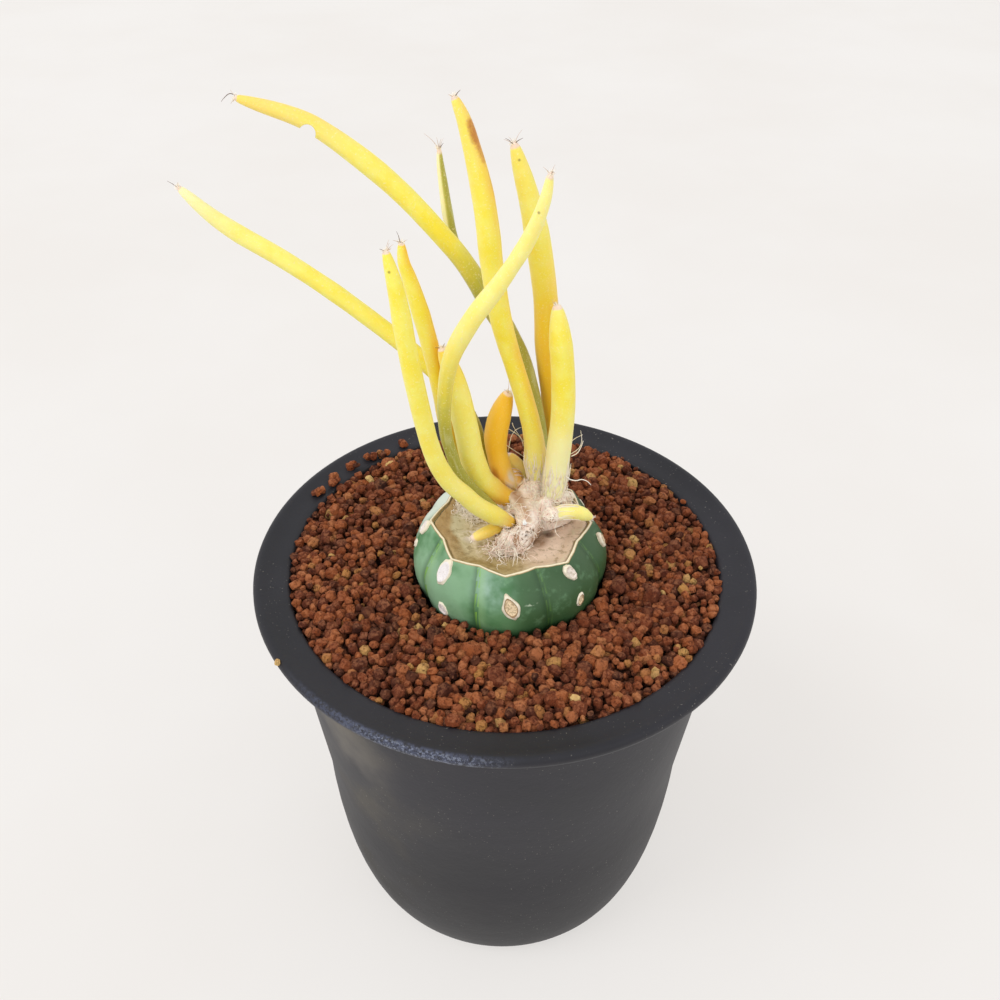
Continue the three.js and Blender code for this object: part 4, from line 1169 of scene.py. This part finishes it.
# Single long hairs that stand free of the crown, from point to point, and two that wander
STRAYS = [
    ((10.6, 2, 106.2), (12.3, 2, 111.3)), ((10.6, 2, 108.2), (12.7, 2, 110.4)),
    ((0.1, 8, 107.4), (3.0, 8, 103.5)), ((0.4, 8, 102.4), (2.6, 8, 107.6)),
    ((1.0, 7, 109.2), (3.2, 7, 105.0)), ((-0.4, 7, 105), (3.4, 7, 101.8)),
    ((8.8, -4.4, 97), (9.4, -5.6, 94.2)), ((0.9, -8.9, 95), (1.9, -11.4, 93.2)),
    ((1.6, -9.2, 95), (1.2, -11.8, 93.2)),
]
STRAY_STEPS = 8
WANDERERS = [
    [(10.0, -1.5, 104.4), (10.7, -1.5, 103.7), (11.8, -1.6, 103.5), (12.7, -1.8, 103.9), (13.6, -2, 103.7),
     (14.3, -2, 102.9)],
    [(11.0, 1.5, 106.3), (11.9, 1.5, 106.9), (12.5, 1.5, 108.2), (12.8, 1.5, 109.5)],
]
core = placed("crown_core", frame["nodes"]["scion_crown"].data.copy())
merge_vertices(0.00001)
mounds = []
for x, y, z, radius in MOUNDS:
    deselect_all()
    bpy.ops.mesh.primitive_ico_sphere_add(subdivisions=3, radius=radius * MM)
    mound = bpy.context.object
    mound.data.transform(Matrix.Translation(Vector((x, y, z)) * MM))
    mounds.append(mound)
core = joined([core, *mounds], "crown_core")
choose(core)
remesh = core.modifiers.new("remesh", "REMESH")
remesh.mode = "VOXEL"
remesh.voxel_size = 0.0003
bpy.ops.object.modifier_apply(modifier="remesh")
soften = core.modifiers.new("soften", "SMOOTH")
soften.iterations = 6
bpy.ops.object.modifier_apply(modifier="soften")
for vertex in core.data.vertices:
    spot = vertex.co / MM - CROWN_CENTRE
    away = math.degrees(math.atan2(spot.y, spot.x)) - HOLLOW_MIDDLE
    pulled = HOLLOW_DEPTH * max(0, 1 - (away / HOLLOW_HALF_WIDTH) ** 2) * smoothstep(spot.z, 4.6, 2.4)
    spot = Vector((spot.x * (1 - pulled), spot.y * (1 - pulled), spot.z))
    vertex.co = (CROWN_CENTRE + spot) * MM
    if spot.z > 0.3:
        vertex.co += vertex.normal * (0.0004 * noise.noise(vertex.co * 900) - 0.0002)
bpy.ops.object.shade_smooth()

draw = random.Random(305)
tangles = {"cream": [], "pink": [], "brown": [], "dark": [], "white": []}
tones = ["cream"] * 11 + ["pink"] * 8 + ["brown"]
corners = [vertex.co / MM for vertex in core.data.vertices]
slopes = BVHTree.FromPolygons(corners, [face.vertices for face in core.data.polygons])
patches = [face.center / MM for face in core.data.polygons if face.center.z > 0.0934 and face.normal.z > -0.1]


def lying(start, heading, steps, stride, lift):
    """A fibre that follows the crown's slope from a start near it."""
    path = []
    spot = start
    for _ in range(steps + 1):
        nearest, normal, _, _ = slopes.find_nearest(spot)
        path.append(nearest + normal * lift)
        heading = heading + any_way() * 0.22
        heading = (heading - normal * heading.dot(normal)).normalized()
        spot = path[-1] + heading * stride
    return path


def on_bare(path):
    bare = [*BROWN_BAND, *PAINTED_SHADOW_PITS, GOLDEN_FLESH]
    return any((spot - Vector(middle)).length < reach for spot in path for middle, reach in bare)


def clear_of_cut(path):
    """Keeps a fibre above the dried cut face."""
    return [Vector((spot.x, spot.y, max(spot.z, CALLUS_TOP + 0.1))) for spot in path]


for _ in range(LYING_FIBRES):
    start = draw.choice(patches)
    if start.x > 3 and start.y < -1 and start.z < 95.6 and draw.random() < 0.75:
        continue
    heading = Vector((0, -0.3, 1)) + any_way() * 0.35
    path = lying(start, heading, draw.randint(5, 8), draw.uniform(0.35, 0.65), draw.uniform(-0.05, 0.15))
    if not on_bare(path) or draw.random() < 0.06:
        # Fibres in the shaded undercut at the lower front right are often brown, as painted shade.
        browner = start.x > 1.5 and start.y < -5 and start.z < 97.2 and draw.random() < 0.5
        tone = "brown" if browner else draw.choice(tones)
        tangles[tone].append(tapered(clear_of_cut(path), draw.uniform(0.07, 0.15)))
for _ in range(LOOSE_CURLS):
    start = draw.choice(patches)
    _, normal, _, _ = slopes.find_nearest(start)
    heading = normal + any_way() * 0.9
    path = clear_of_cut(wandering(start, heading, draw.randint(3, 6), draw.uniform(0.3, 0.5), 0.7))
    if not on_bare(path):
        tangles[draw.choice(tones)].append(tapered(path, draw.uniform(0.06, 0.1)))
for _ in range(DARK_BITS):
    start = Vector((draw.gauss(4.6, 1.8), -7.4, draw.gauss(96.4, 0.7)))
    path = lying(start, Vector((0, -0.3, 1)) + any_way() * 0.8, 2, draw.uniform(0.2, 0.35), 0.12)
    tangles["dark"].append(tapered(path, draw.uniform(0.07, 0.11)))
for _ in range(WHITE_BITS):
    start = Vector((3.2 + draw.gauss(0, 0.2), -6.5, 97.9 + draw.gauss(0, 0.25)))
    path = lying(start, Vector((0, -0.3, 1)), 3, 0.25, 0.2)
    tangles["white"].append(tapered(path, 0.1))
for _ in range(FRONT_FIBRES):
    start = Vector((draw.gauss(0.3, 1.6), draw.gauss(-8.2, 0.8), draw.uniform(93.0, 95.0)))
    path = clear_of_cut(wandering(start, any_way(), draw.randint(4, 7), draw.uniform(0.3, 0.5), 0.7))
    tangles[draw.choice(tones)].append(tapered(path, draw.uniform(0.05, 0.09)))
for name, (reach, wanted) in CLIMBING.items():
    frames = frames_of[name]
    for _ in range(wanted):
        first = int((reach * draw.random() ** 1.5 + 0.6) / TUBERCLE_STEP)
        turn = draw.uniform(0, 2 * math.pi)
        lift = draw.uniform(0.97, 1.08)
        path = []
        for k in range(min(draw.randint(4, 7), len(frames) - first - 8)):
            spot, across, up, _ = frames[first + k]
            outward = across * math.cos(turn) + up * math.sin(turn)
            path.append(spot + outward * girths[name][first + k] * lift)
            turn += draw.gauss(0, 0.06)
            lift += draw.uniform(-0.02, 0.03)
        if len(path) > 2:
            tone = "cream" if draw.random() < 0.9 else "pink"
            tangles[tone].append(tapered(path, draw.uniform(0.07, 0.12)))
for (x, y), spread, wanted in CUT_FACE_TUFTS:
    for _ in range(wanted):
        start = Vector((draw.gauss(x, spread), draw.gauss(y, spread * 0.7), draw.uniform(92.9, 93.6)))
        path = clear_of_cut(wandering(start, any_way(), draw.randint(3, 6), draw.uniform(0.3, 0.5), 0.6))
        tangles["cream"].append(tapered(path, draw.uniform(0.05, 0.08)))
for ends in STRAYS:
    start, end = [Vector(spot) for spot in ends]
    bow = any_way() * (end - start).length * 0.22
    shares = [k / STRAY_STEPS for k in range(STRAY_STEPS + 1)]
    path = [start.lerp(end, share) + bow * math.sin(math.pi * share) for share in shares]
    tangles["cream"].append(tapered(path, 0.09, 0.4))
for route in WANDERERS:
    tangles["cream"].append(tapered(through([Vector(spot) for spot in route])[::CURVE_STEPS // 5], 0.13, 0.5))

for tone, strokes in tangles.items():
    wool = drawn("crown_wool_" + tone, strokes)
    fibres[tone].on(wool)
    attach(wool, "root")
husk = Finish("crown_husk", Roughness=0.9, Specular_IOR_Level=0.2)
lumps = husk.noise(500, 4, 0.65)
# Painted shade under the crown's undercut at the front right.
below = husk.near((6.6, -5.6, 93.6), 3.6, 0.55) * husk.part("Z").between(0.096, 0.0946)
shade = husk.coats(
    husk.mix(lumps.between(0.38, 0.62), "F0DCCB", "FAEEE2"),
    (lumps.between(0.42, 0.3), "D4B69C"),
    *((husk.near(spot, reach * 1.35, 0.3) * lumps.between(0.3, 0.55, 0.4, 0.85), "B08258")
      for spot, reach in BROWN_BAND),
    # Painted shadow in the pits.
    *((husk.near(spot, reach, 0.5) * lumps.between(0.65, 0.45), "4A3024") for spot, reach in PAINTED_SHADOW_PITS),
    # Painted shade under the undercut.
    (below * lumps.between(0.3, 0.6, 0.4, 0.9), "A8805E"),
    (husk.near(GOLDEN_FLESH[0], 2.4, 0.35), "EDB94A"),
    (husk.near((1.2, 3.0, 99.6), 1.4, 0.2) * lumps.between(0.4, 0.6), "EADFD6"),
)
husk.set("Base Color", shade)
husk.bump(lumps, 0.0005)
husk.on(core)
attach(core, "root")
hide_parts("scion_crown")


# Floor, light and camera
# A plain pale floor under soft daylight from the left, seen from the photo's height and slant.
FLOOR_GLOW = 0.665
FLOOR_SHADE = 0.72
SKY_STRENGTH = 0.9
# For each light, in metres and watts: its place, the height on the axis that it faces, its size and power
LIGHTS = {
    "key_light": ((-1.6, -0.8, 2.4), 0.08, 1.2, 24),
    "front_light": ((-0.5, -1.8, 1.0), 0.09, 1.2, 3),
    "fill_light": ((1.8, -1.5, 1.5), 0.08, 1.8, 6),
}
CAMERA_PLACE = Vector((-1.0, -134.09, 207.46))
PITCH_DOWN = 39.268
ROLL = 0.48
deselect_all()
bpy.ops.mesh.primitive_plane_add(size=6)
floor = bpy.context.object
floor.name = "floor"
matt = Finish("pale_floor", Roughness=0.8, Specular_IOR_Level=0.1, Emission_Strength=FLOOR_GLOW)
tone = matt.mix(matt.noise(5, 4, 0.6).between(0.3, 0.7), "F3EFEB", "F6F3F0")
matt.set("Base Color", matt.mix(FLOOR_SHADE, tone, "000000"))
matt.set("Emission Color", tone)
matt.on(floor)

world = bpy.data.worlds.new("studio")
world.use_nodes = True
world.node_tree.nodes["Background"].inputs["Color"].default_value = (1.0, 1.0, 1.0, 1)
world.node_tree.nodes["Background"].inputs["Strength"].default_value = SKY_STRENGTH
bpy.context.scene.world = world

for name, (place, aim, size, power) in LIGHTS.items():
    deselect_all()
    bpy.ops.object.light_add(type="AREA", location=place)
    light = bpy.context.object
    light.name = name
    light.data.size = size
    light.data.energy = power
    light.rotation_euler = (Vector((0, 0, aim)) - Vector(place)).to_track_quat("-Z", "Y").to_euler()

deselect_all()
bpy.ops.object.camera_add(location=CAMERA_PLACE * MM)
camera = bpy.context.object
camera.data.lens = 36
camera.data.sensor_width = 36
camera.data.clip_start = 0.01
tilt = Quaternion((1, 0, 0), math.radians(90 - PITCH_DOWN))
camera.rotation_euler = (tilt @ Quaternion((0, 0, 1), math.radians(ROLL))).to_euler()
bpy.context.scene.camera = camera
bpy.context.scene.view_settings.view_transform = "Standard"
